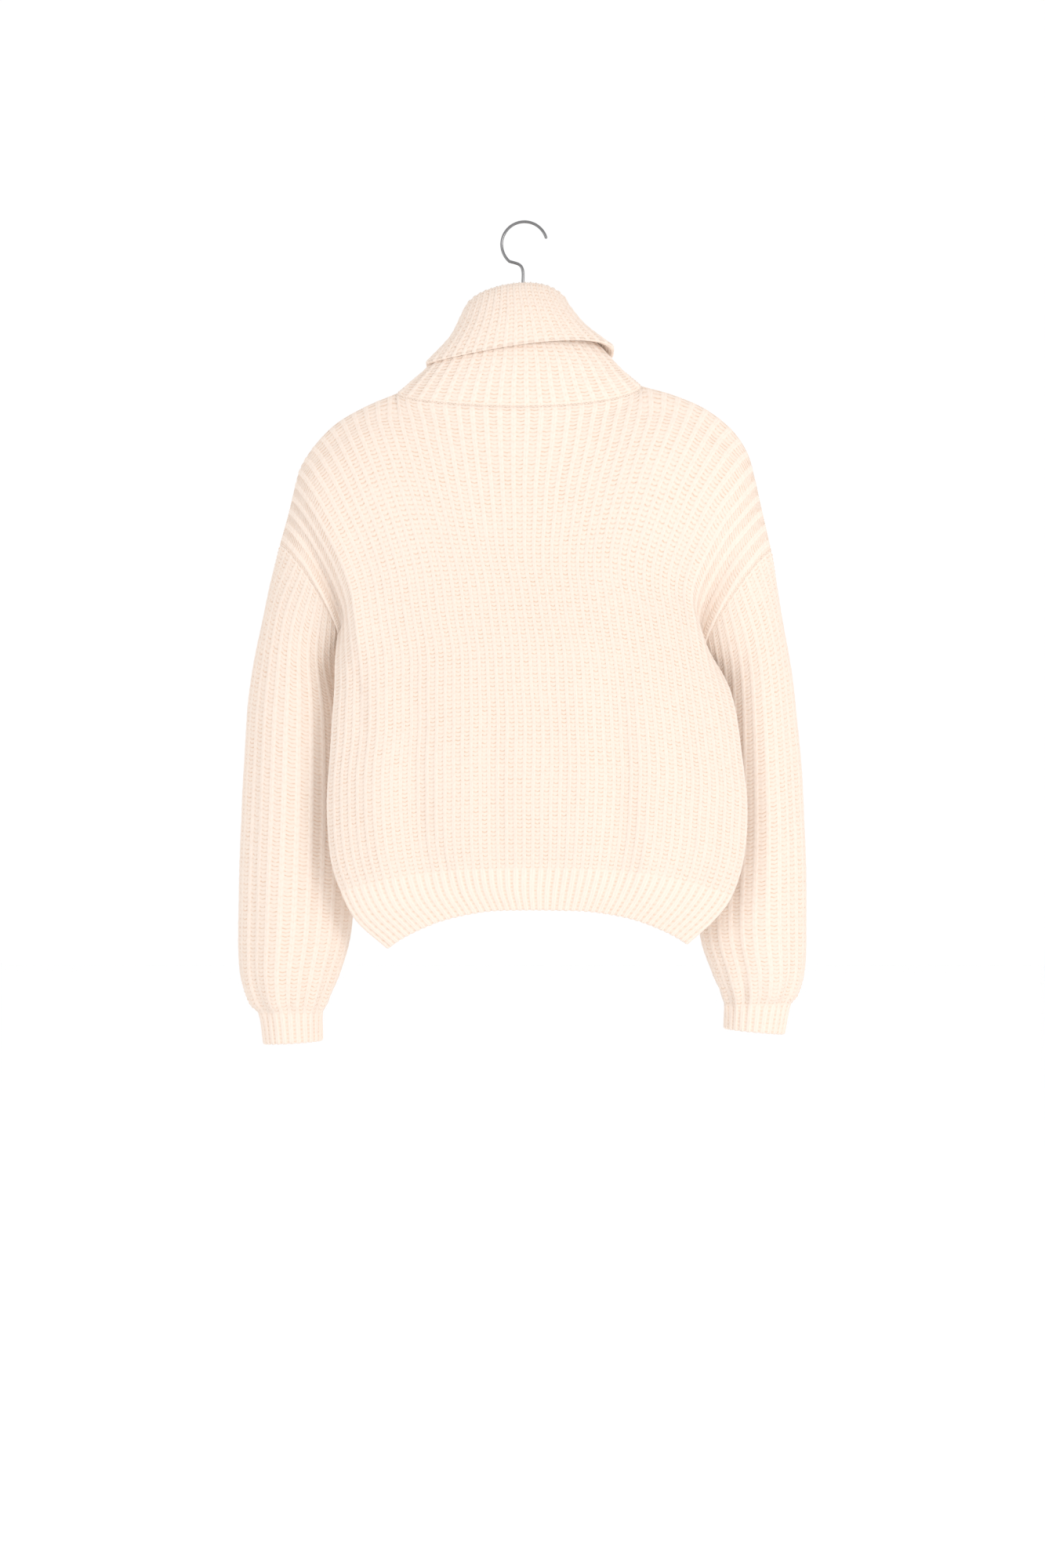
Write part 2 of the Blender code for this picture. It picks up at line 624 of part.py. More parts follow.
def build_collar(grids, out, steps, collar):
    """The roll neck: one sheet that rises from the neck seam and turns over."""
    below = around(grids[-1][1, NECK_COLUMNS], grids[1][1, NECK_COLUMNS])
    away = tube_normals(collar, below, -1)
    away[0] = around(out[-1][0, NECK_COLUMNS], out[1][0, NECK_COLUMNS])
    middle = collar.copy()
    middle[0] -= around(steps[-1]["top"][NECK_COLUMNS], steps[1]["top"][NECK_COLUMNS])
    for corner in (0, 2 * NECK_RIBS):
        middle[0, corner] += unit(collar[1, corner] - collar[0, corner]) * SEAM_GAP
    middle[0] -= away[0] * WALL / 2
    heights = rib_heights(*collar.shape[:2], [0])
    under = np.arange(len(collar))[:, None, None] < COLLAR_FOLD_ROW
    shown = np.arange(len(collar))[:, None, None] <= COLLAR_SHOWN_ROW
    outside = middle + away * (WALL / 2 + heights * shown)
    inside = middle - away * (WALL / 2 + heights * ~under)
    inside[0, 1::2] = (inside[0, 0::2] + np.roll(inside[0, 0::2], -1, axis=0)) / 2
    cloth_object("collar", outside, inside, True, CREAM)


def build_hanger(grids, out):
    """The hanger's bar, which follows the shoulders just inside the cloth, and its wire hook."""
    columns = np.arange(0, 2 * PANEL_RIBS + 1, 2)
    wales = columns / PANEL_RIBS - 1
    drop = WALL + BAR_SEAT_GAP + BAR_RADIUS
    seat = grids[-1][0] - out[-1][0] * drop
    seat[:, 1] = 0.0
    half_neck = NECK_RIBS / PANEL_RIBS
    left = seat[columns[(wales >= -BAR_TIP_WALE) & (wales <= -half_neck - BAR_NECK_CLEAR)]]
    right = seat[columns[(wales <= BAR_TIP_WALE) & (wales >= half_neck + BAR_NECK_CLEAR)]]
    under_neck = [
        (NECK_RING.left_x, 0.0, NECK_RING.left_z - drop - BAR_NECK_DROP),
        (0.0, 0.0, BAR_TOP_Z - BAR_RADIUS),
        (NECK_RING.right_x, 0.0, NECK_RING.right_z - drop - BAR_NECK_DROP),
    ]
    points = np.concatenate([left, under_neck, right])
    bridge = curve_through(points, np.linspace(len(left) - 1, len(left) + 3, BAR_BRIDGE_POINTS))
    points = np.concatenate([left[:-1], bridge, right[1:]])
    tips = []
    for end, after in ((points[0], points[1]), (points[-1], points[-2])):
        away = unit(end - after)
        tips.append([end + away * BAR_RADIUS * reach for reach in BAR_TIP_REACH])
    points = np.concatenate([tips[0], points, tips[1][::-1]]) + np.array([SHANK_X, 0.0, 0.0])
    radii = np.ones(len(points))
    for end, share in enumerate(BAR_TIP_RADII):
        radii[[end, -1 - end]] = share
    wire_object("hanger_bar", points, radii, BAR_RADIUS, BAR_FACES, PALE_WOOD, 0.0)
    turn = np.radians(np.linspace(HOOK_TIP_ANGLE, HOOK_TURN_ANGLE, HOOK_LOOP_POINTS))
    centre_z = WIRE_RADIUS - HOOK_RADIUS
    loop = np.stack(
        [HOOK_RADIUS * np.cos(turn), 0 * turn, centre_z + HOOK_RADIUS * np.sin(turn)], axis=1
    )
    end_z = BAR_TOP_Z + BAR_SEAT_GAP
    bend = np.array([loop[-1]] + HOOK_BEND)
    bend = curve_through(bend, np.linspace(0, len(HOOK_BEND), HOOK_BEND_POINTS))
    foot = np.array([[SHANK_X, 0.0, end_z]])
    points = np.concatenate([loop, bend[1:], foot])
    wire_object("hook", points, np.ones(len(points)), WIRE_RADIUS, HOOK_FACES, STEEL, 1.0)


def main():
    """Clears the scene and builds the pieces."""
    for found in list(bpy.data.objects):
        bpy.data.objects.remove(found, do_unlink=True)
    grids, out, steps, collar, sleeves = build_panels()
    build_sleeves(grids, out, steps, sleeves)
    build_collar(grids, out, steps, collar)
    build_hanger(grids, out)


main()
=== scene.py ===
"""Dresses a hung roll-neck sweater: knitted pieces, linked seams, hanger, hook, floor and light.

Lengths are in millimetres until they become points in metres. The origin is the inside top of
the wire hook, +Z is up, the garment's back faces -Y and its front faces +Y.
"""

import logging
from dataclasses import dataclass
from enum import Enum
from typing import Any, NamedTuple, Sequence

import bpy
import numpy as np
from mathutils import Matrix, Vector
from mathutils.bvhtree import BVHTree


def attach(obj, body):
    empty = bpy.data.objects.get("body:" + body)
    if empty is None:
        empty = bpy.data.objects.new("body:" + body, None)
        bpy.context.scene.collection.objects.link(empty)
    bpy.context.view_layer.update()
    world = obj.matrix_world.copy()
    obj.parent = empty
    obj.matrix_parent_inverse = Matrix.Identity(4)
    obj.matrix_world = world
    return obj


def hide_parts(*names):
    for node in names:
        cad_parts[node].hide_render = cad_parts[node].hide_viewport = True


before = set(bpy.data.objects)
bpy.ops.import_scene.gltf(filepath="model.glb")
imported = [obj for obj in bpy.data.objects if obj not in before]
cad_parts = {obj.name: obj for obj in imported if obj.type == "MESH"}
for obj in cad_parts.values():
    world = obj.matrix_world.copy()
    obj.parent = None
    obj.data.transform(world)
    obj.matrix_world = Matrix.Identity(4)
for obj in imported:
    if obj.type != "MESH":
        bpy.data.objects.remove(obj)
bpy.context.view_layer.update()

log = logging.getLogger("sweater")
MM = 0.001
BODY = "root"
# The hook's shank stands this far to the side of the origin, and the garment hangs centred on it.
SHANK_X = -1.7
# A quad's corners, as steps down and across from its first point.
CORNERS = ((0, 0), (0, 1), (1, 1), (1, 0))
Grid = np.ndarray
Line = tuple[tuple[float, float], ...]
Colour = tuple[float, float, float, float]


class Side(Enum):
    """The two halves of the body, by the direction they face."""

    BACK = -1
    FRONT = 1


class Arm(Enum):
    """The two sleeves, by the panel column each is sewn to."""

    LEFT = 0
    RIGHT = -1


class BodyRow(NamedTuple):
    """One row of stitches of the body, with its folds to the left and the right."""

    mid_z: float
    left_x: float
    left_z: float
    right_x: float
    right_z: float
    back_y: float
    front_y: float
    back_fold_y: float
    front_fold_y: float
    seam_y: float
    tuck_x: float
    tuck_z: float
    front_inset: float


class Ring(NamedTuple):
    """An oval round the neck, higher at its back than at its front."""

    left_x: float
    right_x: float
    back_y: float
    front_y: float
    back_z: float
    left_z: float
    right_z: float
    front_z: float
    skew: float = 0.0
    drop: float = 0.0
    square: float = 1.15


class SleeveRing(NamedTuple):
    """A ring of a sleeve by its two silhouette points and its depth."""

    outer_x: float
    outer_z: float
    inner_x: float
    inner_z: float
    mid_y: float
    half_y: float


class Fold(NamedTuple):
    """A soft fold along a line of stitches, from its top to its foot; a hollow's rise is negative.

    Across a panel the line is a wale from -1 to 1, and round a sleeve it is a share of the turn.
    """

    top: float
    foot: float
    start: float
    end: float
    width: float
    rise: float


class Spot(NamedTuple):
    """A place on the back, seen from behind."""

    x: float
    z: float
    slant: float


def unit(vectors: Grid) -> Grid:
    """Return the vectors at length one."""
    return vectors / np.maximum(np.linalg.norm(vectors, axis=-1, keepdims=True), 1e-9)


def ease(values: Any, start: float = 0.0, width: float = 1.0) -> Any:
    """Return a smooth step from 0 at the start to 1 a width further on."""
    values = np.clip((values - start) / width, 0.0, 1.0)
    return values * values * (3 - 2 * values)


def bell(values: Any, middle: Any, width: float) -> Any:
    """Return a bell of height 1 round a middle value."""
    return np.exp(-(((values - middle) / width) ** 2))


def run_along(points: Grid) -> Grid:
    """Return the distance run along a line of points from its first one."""
    steps = np.linalg.norm(np.diff(points, axis=0), axis=1)
    return np.concatenate([[0.0], np.cumsum(steps)])


def sample(values: Grid, where: Grid, wanted: Grid) -> Grid:
    """Return rows of values read at wanted places between the places where they stand."""
    return np.stack([np.interp(wanted, where, column) for column in values.T], axis=-1)


def at_shares(points: Grid, shares: Grid) -> Grid:
    """Return points at given shares of a line's length."""
    run = run_along(points)
    return sample(points, run, shares * run[-1])


def hermite(t: Grid, first: Grid, leave: Grid, last: Grid, arrive: Grid) -> Grid:
    """Return points at shares t of a smooth curve, from its two ends and the slopes there."""
    return (
        (2 * t**3 - 3 * t**2 + 1) * first
        + (t**3 - 2 * t**2 + t) * leave
        + (3 * t**2 - 2 * t**3) * last
        + (t**3 - t**2) * arrive
    )


def curve_through(stations: Grid, places: Grid) -> Grid:
    """Return smooth rows between stations.

    Args:
        stations: Rows of points to pass through.
        places: Where each wanted row lies, counted in stations.

    Returns:
        One row of points for each place.
    """
    stations, places = np.asarray(stations, float), np.asarray(places, float)
    slopes = np.gradient(stations, axis=0)
    low = np.clip(np.floor(places).astype(int), 0, len(stations) - 2)
    t = (places - low).reshape((-1,) + (1,) * (stations.ndim - 1))
    return hermite(t, stations[low], slopes[low], stations[low + 1], slopes[low + 1])


def ring_point(ring: Ring, angles: Grid) -> Grid:
    """Return points of an oval ring.

    Args:
        ring: The ring.
        angles: 0 is its left side, pi / 2 its back and pi its right side.

    Returns:
        One point for each angle.
    """
    middle = (ring.left_x + ring.right_x) / 2
    half = (ring.right_x - ring.left_x) / 2
    back = np.sin(angles)
    reach = np.where(back > 0, ring.back_y, -ring.front_y)
    side_z = ring.left_z + (ring.right_z - ring.left_z) * (1 - np.cos(angles)) / 2
    end_z = np.where(back > 0, ring.back_z, ring.front_z)
    z = side_z + (end_z - side_z) * np.abs(back) ** ring.square
    z = z + np.where(back > 0, ring.skew * np.sin(2 * angles) - ring.drop * back, 0.0)
    return np.stack([middle - half * np.cos(angles), reach * back, z], axis=-1)


def around(back_half: Grid, front_half: Grid) -> Grid:
    """Return a closed loop: the back half, then the front half the other way.

    Args:
        back_half: The back's values, from the first column to the middle one.
        front_half: The front's values between the same columns.

    Returns:
        The loop, which takes the mean where the halves meet.
    """
    loop = np.concatenate([back_half, front_half[-2:0:-1]])
    loop[0] = (back_half[0] + front_half[0]) / 2
    loop[len(back_half) - 1] = (back_half[-1] + front_half[-1]) / 2
    return loop


def halves(loop: Grid) -> dict[Side, Grid]:
    """Return a closed loop's two halves, each from its first column to its middle one."""
    half = len(loop) // 2
    return {Side.BACK: loop[: half + 1], Side.FRONT: np.concatenate([loop[:1], loop[: half - 1 : -1]])}


def soft_noise(first: Grid, second: Grid, seed: int) -> Grid:
    """Return a smooth wandering value between about -1 and 1.

    Args:
        first: One coordinate.
        second: The other one.
        seed: The number that gives the same wandering on each run.

    Returns:
        The value at each point.
    """
    waves, slowest, fastest = 7, 0.6, 2.4
    chance = np.random.default_rng(seed)
    total = np.zeros(np.broadcast(first, second).shape)
    for _ in range(waves):
        turn, phase = chance.uniform(0, 2 * np.pi, 2)
        pace = chance.uniform(slowest, fastest)
        total += np.sin(pace * (np.cos(turn) * first + np.sin(turn) * second) + phase)
    return total / (waves / 2)


def fold_depths(folds: Sequence[Fold], lines: Grid, places: Grid, power: float) -> Grid:
    """Return how far soft folds push each point of a piece out.

    Args:
        folds: The folds.
        lines: Where each column lies across the folds.
        places: Where each row lies along them.
        power: How sharply they fade towards their ends.

    Returns:
        The depths, row by row.
    """
    total = np.zeros((len(places), len(lines)))
    for fold in folds:
        share = np.clip((places - fold.start) / (fold.end - fold.start), 0, 1)[:, None]
        middle = fold.top + (fold.foot - fold.top) * share
        across = bell(lines[None], middle, fold.width)
        total += fold.rise * np.sin(np.pi * share) ** power * across
    return total


def quads(index: Grid, marks: Grid, corners: Sequence[tuple[int, int]]) -> tuple[list, Grid]:
    """Return the quads of a grid of points.

    Args:
        index: The points' numbers.
        marks: The marks at each point.
        corners: The order in which a quad goes round its corners.

    Returns:
        The quads, and the marks of their corners.
    """
    high, wide = index.shape
    picks = [(slice(a, high - 1 + a), slice(b, wide - 1 + b)) for a, b in corners]
    faces = np.stack([index[pick] for pick in picks], axis=-1).reshape(-1, 4)
    read = np.stack([marks[pick] for pick in picks], axis=-2)
    return faces.tolist(), read.reshape(-1, marks.shape[-1])


def add_piece(
    name: str, points: Grid, faces: list, layers: dict[str, Grid], finish: bpy.types.Material
) -> bpy.types.Object:
    """Make a smooth mesh that rides the garment.

    Args:
        name: The piece's name.
        points: Its points, in millimetres.
        faces: The numbers of each face's points.
        layers: Two numbers for each corner of the faces, by the name of their layer.
        finish: Its material.

    Returns:
        The piece.
    """
    mesh = bpy.data.meshes.new(name)
    mesh.from_pydata((points.reshape(-1, 3) * MM).tolist(), [], faces)
    for layer, pairs in layers.items():
        plain = np.ascontiguousarray(pairs, np.float32).ravel()
        mesh.uv_layers.new(name=layer).data.foreach_set("uv", plain)
    mesh.shade_smooth()
    mesh.materials.append(finish)
    piece = bpy.data.objects.new(name, mesh)
    bpy.context.scene.collection.objects.link(piece)
    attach(piece, BODY)
    return piece


class Value:
    """A number socket or a plain number that adds Math nodes as it is worked with."""

    def __init__(self, shop: "NodeShop", source: Any) -> None:
        """Wrap a socket or a number for the given node shop."""
        self.shop = shop
        self.source = source

    def _math(self, operation: str, *others: Any) -> "Value":
        """Return this value combined with others by one Math node."""
        inputs = dict(enumerate((self, *others)))
        return Value(self.shop, self.shop.add("ShaderNodeMath", {"operation": operation}, inputs))

    def __add__(self, other: Any) -> "Value":
        """Return the sum."""
        return self._math("ADD", other)

    __radd__ = __add__

    def __sub__(self, other: Any) -> "Value":
        """Return the difference."""
        return self._math("SUBTRACT", other)

    def __rsub__(self, other: Any) -> "Value":
        """Return a number less this value."""
        return Value(self.shop, other)._math("SUBTRACT", self)

    def __mul__(self, other: Any) -> "Value":
        """Return the product."""
        return self._math("MULTIPLY", other)

    __rmul__ = __mul__

    def __pow__(self, other: Any) -> "Value":
        """Return this value raised to a power."""
        return self._math("POWER", other)

    def __abs__(self) -> "Value":
        """Return the value without its sign."""
        return self._math("ABSOLUTE")

    def fraction(self) -> "Value":
        """Return what is left after whole numbers."""
        return self._math("FRACT")

    def wave(self) -> "Value":
        """Return a wave between 0 and 1 that repeats at each whole number."""
        return (self * (2 * np.pi))._math("SINE") * 0.5 + 0.5

    def step(self, low: float, high: float) -> "Value":
        """Return a smooth step.

        Args:
            low: The value where the step is 0.
            high: The value where it is 1.

        Returns:
            The step.
        """
        settings = {"interpolation_type": "SMOOTHSTEP"}
        inputs = {"Value": self, "From Min": low, "From Max": high}
        return Value(self.shop, self.shop.add("ShaderNodeMapRange", settings, inputs))


class NodeShop:
    """Makes one material's nodes."""

    def __init__(self, name: str) -> None:
        """Start an empty material.

        Args:
            name: The material's name.
        """
        self.material = bpy.data.materials.new(name)
        self.material.use_nodes = True
        self.tree = self.material.node_tree
        self.tree.nodes.clear()

    def add(self, kind: str, settings: dict, inputs: dict, output: Any = 0) -> Any:
        """Add one node.

        Args:
            kind: The node's type.
            settings: Its properties, set before its sockets.
            inputs: Values or links by socket name or number.
            output: The name or number of the socket to return, or None.

        Returns:
            The chosen output socket.
        """
        node = self.tree.nodes.new(kind)
        for name, setting in settings.items():
            setattr(node, name, setting)
        for name, given in inputs.items():
            source = given.source if isinstance(given, Value) else given
            if isinstance(source, bpy.types.NodeSocket):
                self.tree.links.new(source, node.inputs[name])
            else:
                node.inputs[name].default_value = source
        return None if output is None else node.outputs[output]

    def place(self) -> Any:
        """Return the point on the object."""
        return self.add("ShaderNodeTexCoord", {}, {}, "Object")

    def marks(self, layer: str) -> tuple[Value, Value]:
        """Return the two numbers that a piece carries in a layer of marks.

        Args:
            layer: The layer's name.

        Returns:
            The two values.
        """
        pair = self.add("ShaderNodeUVMap", {"uv_map": layer}, {})
        return tuple(
            Value(self, self.add("ShaderNodeSeparateXYZ", {}, {0: pair}, axis)) for axis in "XY"
        )

    def blend(self, share: Any, first: Any, second: Any) -> Any:
        """Return the colour that lies the given share of the way from the first to the second."""
        return self.add("ShaderNodeMix", {"data_type": "RGBA"}, {0: share, 6: first, 7: second}, 2)

    def noise(self, where: Any, scale: float, detail: float) -> Value:
        """Return a noise value between 0 and 1."""
        inputs = {"Vector": where, "Scale": scale, "Detail": detail}
        return Value(self, self.add("ShaderNodeTexNoise", {}, inputs))

    def stretch(self, where: Any, scale: tuple[float, float, float]) -> Any:
        """Return a point scaled along each axis."""
        return self.add("ShaderNodeMapping", {}, {"Vector": where, "Scale": scale})

    def bump(self, height: Value, strength: float, distance: float) -> Any:
        """Return a normal bent by a height."""
        inputs = {"Height": height, "Strength": strength, "Distance": distance}
        return self.add("ShaderNodeBump", {}, inputs)

    def finish(self, **sockets: Any) -> bpy.types.Material:
        """End the material in a Principled shader.

        Args:
            sockets: The shader's values or links, with underscores for spaces.

        Returns:
            The finished material.
        """
        inputs = {name.replace("_", " "): given for name, given in sockets.items()}
        shader = self.add("ShaderNodeBsdfPrincipled", {}, inputs)
        self.add("ShaderNodeOutputMaterial", {}, {"Surface": shader}, None)
        return self.material


@dataclass(frozen=True)
class KnitFinish:
    """Matt cream yarn: wales, rounded stitches and a short fuzz, with painted shade in the gaps
    between the stitches and a painted highlight on the wales' tops.
    """

    name: str
    yarn: Colour = (0.830, 0.708, 0.617, 1.0)
    # Painted shade: the colour below darkens the valleys and gaps between the stitches.
    gap: Colour = (0.680, 0.450, 0.310, 1.0)
    # Painted highlight: the colour below lightens the wales' tops; it also tints the fuzz tips.
    crest: Colour = (0.880, 0.784, 0.710, 1.0)
    wale_edge: tuple[float, float] = (0.17, 0.25)
    split_half: float = 0.04
    # Shares of painted shade in the valleys, in the dots between purl bars, in each V's split and
    # between its legs.
    valley_gap: float = 0.30
    bar_gap: float = 0.55
    split_gap: float = 0.24
    leg_gap: float = 0.24
    # How strongly the wales' tops take the painted highlight.
    crest_share: float = 0.35
    fuzz_share: float = 0.3
    fuzz_scale: float = 950.0
    haze_scale: float = 9.0
    patch_scale: float = 160.0
    bump_distance: float = 0.0007

    def build(self) -> bpy.types.Material:
        """Build the material, which reads the rib and course numbers and the relief.

        Returns:
            The material.
        """
        shop = NodeShop(self.name)
        rib, course = shop.marks("knit")
        height, ribbing = shop.marks("relief")
        place = shop.place()
        aside = abs(rib.fraction() - 0.5)
        on_wale = 1 - (aside - ribbing * 0.10).step(*self.wale_edge)
        leg = (course * 0.5 + aside * 1.6).wave()
        split = aside.step(0.0, self.split_half)
        bar = (course - aside * 0.8).wave()
        purl = 1 - on_wale
        stitch = on_wale * (leg ** 0.6 * 0.6 + 0.4) * (split * 0.45 + 0.55)
        stitch = stitch + purl * bar ** 0.7 * (1 - ribbing * 0.5)
        fuzz = shop.noise(place, self.fuzz_scale, 3.0)
        haze = shop.noise(place, self.haze_scale, 2.0)
        patch = shop.noise(place, self.patch_scale, 2.0).step(0.35, 0.7)
        # Painted shade: the lower the relief, the darker the colour, plus darker dots, splits and leg
        # gaps between the loops.
        low = (1 - height) ** 1.5
        gaps = low * (1.2 - stitch) * (self.valley_gap + ribbing * 0.10)
        purl_shade_dots = purl * (1 - bar) ** 3.0 * (self.bar_gap - ribbing * 0.30)
        gaps = gaps + purl_shade_dots * (patch * 0.7 + 0.3)
        gaps = gaps + on_wale * (1 - split) * self.split_gap
        gaps = gaps + on_wale * (1 - leg) ** 3.0 * (self.leg_gap - ribbing * 0.18)
        colour = shop.blend(gaps.step(0.0, 1.0), self.yarn, self.gap)
        # Painted highlight: the wales' tops are lighter where the relief stands higher.
        painted_highlight = on_wale * height * (self.crest_share - ribbing * 0.1)
        colour = shop.blend(painted_highlight, colour, self.crest)
        # The fuzz tips take the same pale colour, as tone that varies at random.
        tips = (fuzz + haze * 0.4).step(0.5, 1.1) * self.fuzz_share
        colour = shop.blend(tips, colour, self.crest)
        bent = shop.bump(stitch * 0.8 + fuzz * 0.35, 0.6, self.bump_distance)
        return shop.finish(
            Base_Color=colour,
            Roughness=0.92,
            Normal=bent,
            Sheen_Weight=0.18,
            Sheen_Roughness=0.45,
            Sheen_Tint=(1.0, 0.94, 0.88, 1.0),
            Specular_IOR_Level=0.18,
        )


@dataclass(frozen=True)
class YarnFinish:
    """The seams' linking yarn, with its twist."""

    name: str = "linking_yarn"
    light: Colour = (0.850, 0.735, 0.645, 1.0)
    dark: Colour = (0.810, 0.680, 0.580, 1.0)
    fuzz_scale: float = 1400.0

    def build(self) -> bpy.types.Material:
        """Build the material, which reads the turn and the run along the yarn.

        Returns:
            The material.
        """
        shop = NodeShop(self.name)
        turn, run = shop.marks("twist")
        ply = (run + turn).wave()
        fuzz = shop.noise(shop.place(), self.fuzz_scale, 2.0)
        colour = shop.blend(ply * 0.7 + fuzz * 0.3, self.dark, self.light)
        bent = shop.bump(ply + fuzz * 0.3, 0.5, 0.0004)
        return shop.finish(Base_Color=colour, Roughness=0.9, Normal=bent, Specular_IOR_Level=0.2)


@dataclass(frozen=True)
class WoodFinish:
    """Pale varnished wood with fine grain along the bar."""

    name: str = "hanger_wood_grain"
    pale: Colour = (0.640, 0.455, 0.275, 1.0)
    dark: Colour = (0.420, 0.262, 0.135, 1.0)
    grain_scale: tuple[float, float, float] = (14.0, 220.0, 220.0)
    ring_count: float = 6.0

    def build(self) -> bpy.types.Material:
        """Build the material.

        Returns:
            The material.
        """
        shop = NodeShop(self.name)
        along = shop.stretch(shop.place(), self.grain_scale)
        grain = shop.noise(along, 1.0, 5.0)
        streak = shop.noise(along, 3.4, 3.0)
        rings = (grain * self.ring_count).wave()
        colour = shop.blend(rings * 0.55 + streak * 0.45, self.dark, self.pale)
        return shop.finish(
            Base_Color=colour,
            Roughness=streak * 0.12 + 0.30,
            Normal=shop.bump(streak, 0.12, 0.0003),
            Coat_Weight=0.35,
            Coat_Roughness=0.2,
        )


@dataclass(frozen=True)
class ChromeFinish:
    """Polished steel wire with faint drawing marks and duller patches from use; its colours are set
    dark as a painted reflection of dark surroundings.
    """

    name: str = "polished_wire"
    # Painted reflection: both colours are very dark so that the wire shows the dark surroundings it
    # would reflect; the worn patches are darker still, as wear.
    steel: Colour = (0.230, 0.228, 0.232, 1.0)
    worn: Colour = (0.110, 0.108, 0.110, 1.0)
    wear_scale: float = 60.0
    mark_scale: float = 2400.0

    def build(self) -> bpy.types.Material:
        """Build the material.

        Returns:
            The material.
        """
        shop = NodeShop(self.name)
        place = shop.place()
        wear = shop.noise(place, self.wear_scale, 3.0).step(0.45, 0.75)
        marks = shop.noise(place, self.mark_scale, 1.0)
        return shop.finish(
            Base_Color=shop.blend(wear * 0.5, self.steel, self.worn),
            Metallic=1.0,
            Roughness=wear * 0.12 + 0.14,
            Normal=shop.bump(marks, 0.08, 0.0001),
        )


@dataclass(frozen=True)
class FloorFinish:
    """A plain pale studio floor."""

    name: str = "pale_floor"
    paint: Colour = (0.995, 0.995, 0.995, 1.0)

    def build(self) -> bpy.types.Material:
        """Return the material."""
        shop = NodeShop(self.name)
        return shop.finish(Base_Color=self.paint, Roughness=0.85, Specular_IOR_Level=0.1)


@dataclass(frozen=True)
class Stitch:
    """The knit's own sizes, shared by all the pieces."""

    rib_columns: tuple[float, ...] = (0.08, 0.26, 0.41, 0.50, 0.59, 0.74, 0.92)
    row_step: float = 2.16
    rib_rise: float = 1.7
    wall: float = 4.0
    aside: tuple[float, ...] = (0.0, 0.09, 0.24, 0.42, 0.5)
    loose: tuple[float, ...] = (0.80, 1.0, 0.16, 0.42, 0.46)
    snug: tuple[float, ...] = (0.80, 1.0, 0.74, 0.16, 0.10)
    wale_half: float = 0.2
    split_half: float = 0.05
    bar_start: float = 0.4
    bar_rise: float = 0.17
    leg_fall: float = 0.16
    snug_leg_share: float = 0.4
    highest: float = 1.1
    unevenness: float = 0.06
    uneven_half: float = 0.3
    uneven_rows: int = 4
    seam_dip: float = 0.5
    seam_dip_share: float = 0.35
    seam_reach: float = 2.2
    rib_width: float = 12.0
    edge_rows: int = 4
    ripple: float = 0.6
    sway: float = 0.7

    def columns(self, ribs: int, also: Sequence[float]) -> Grid:
        """Return where the columns of a piece lie, counted in ribs."""
        places = (np.arange(ribs)[:, None] + np.array(self.rib_columns)).ravel()
        return np.unique(np.concatenate([places, also]))

    def relief(self, rows: int, ribs: Grid, ribbing: Grid, seed: int) -> Grid:
        """Return how high the stitches stand at each point of a grid, from 0 to 1.

        Args:
            rows: How many rows there are, two to a course.
            ribs: Where the columns lie, counted in ribs.
            ribbing: How much each row belongs to a tight rib edge.
            seed: The piece's own number, for its unevenness.

        Returns:
            The heights, row by row.
        """
        aside = np.abs(ribs % 1.0 - 0.5)[None]
        turn = np.pi * np.arange(rows)[:, None]
        wale = aside < self.wale_half
        leg = 0.5 - 0.5 * np.cos(turn / 2 + np.where(aside < self.split_half, np.pi / 2, 0.0))
        loose = np.interp(aside, self.aside, self.loose) - wale * self.leg_fall * leg
        loose = loose + (aside > self.bar_start) * self.bar_rise * np.cos(turn)
        snug = np.interp(aside, self.aside, self.snug)
        snug = snug - wale * self.leg_fall * self.snug_leg_share * leg
        chance = np.random.default_rng(seed)
        size = (rows // self.uneven_rows + 2, int(ribs.max()) + 2)
        uneven = chance.uniform(-1, 1, size) * self.unevenness
        uneven = uneven[np.arange(rows)[:, None] // self.uneven_rows, ribs.astype(int)[None]]
        loose = loose + uneven * (aside < self.uneven_half)
        tight = ribbing[:, None]
        return np.clip(loose * (1 - tight) + snug * tight, 0.0, self.highest)

    def dip(self, away: Grid) -> Grid:
        """Return how much the cloth at a distance from a seam is pressed in by it."""
        return bell(away, 0.0, self.seam_reach)

    def lift(self, heights: Grid, dip: Grid, wall: Grid) -> Grid:
        """Return how far the outer face stands out, pressed in where it dips to a seam."""
        depth = np.minimum(self.seam_dip, self.seam_dip_share * wall)
        return self.rib_rise * heights * (1 - dip) - depth * dip


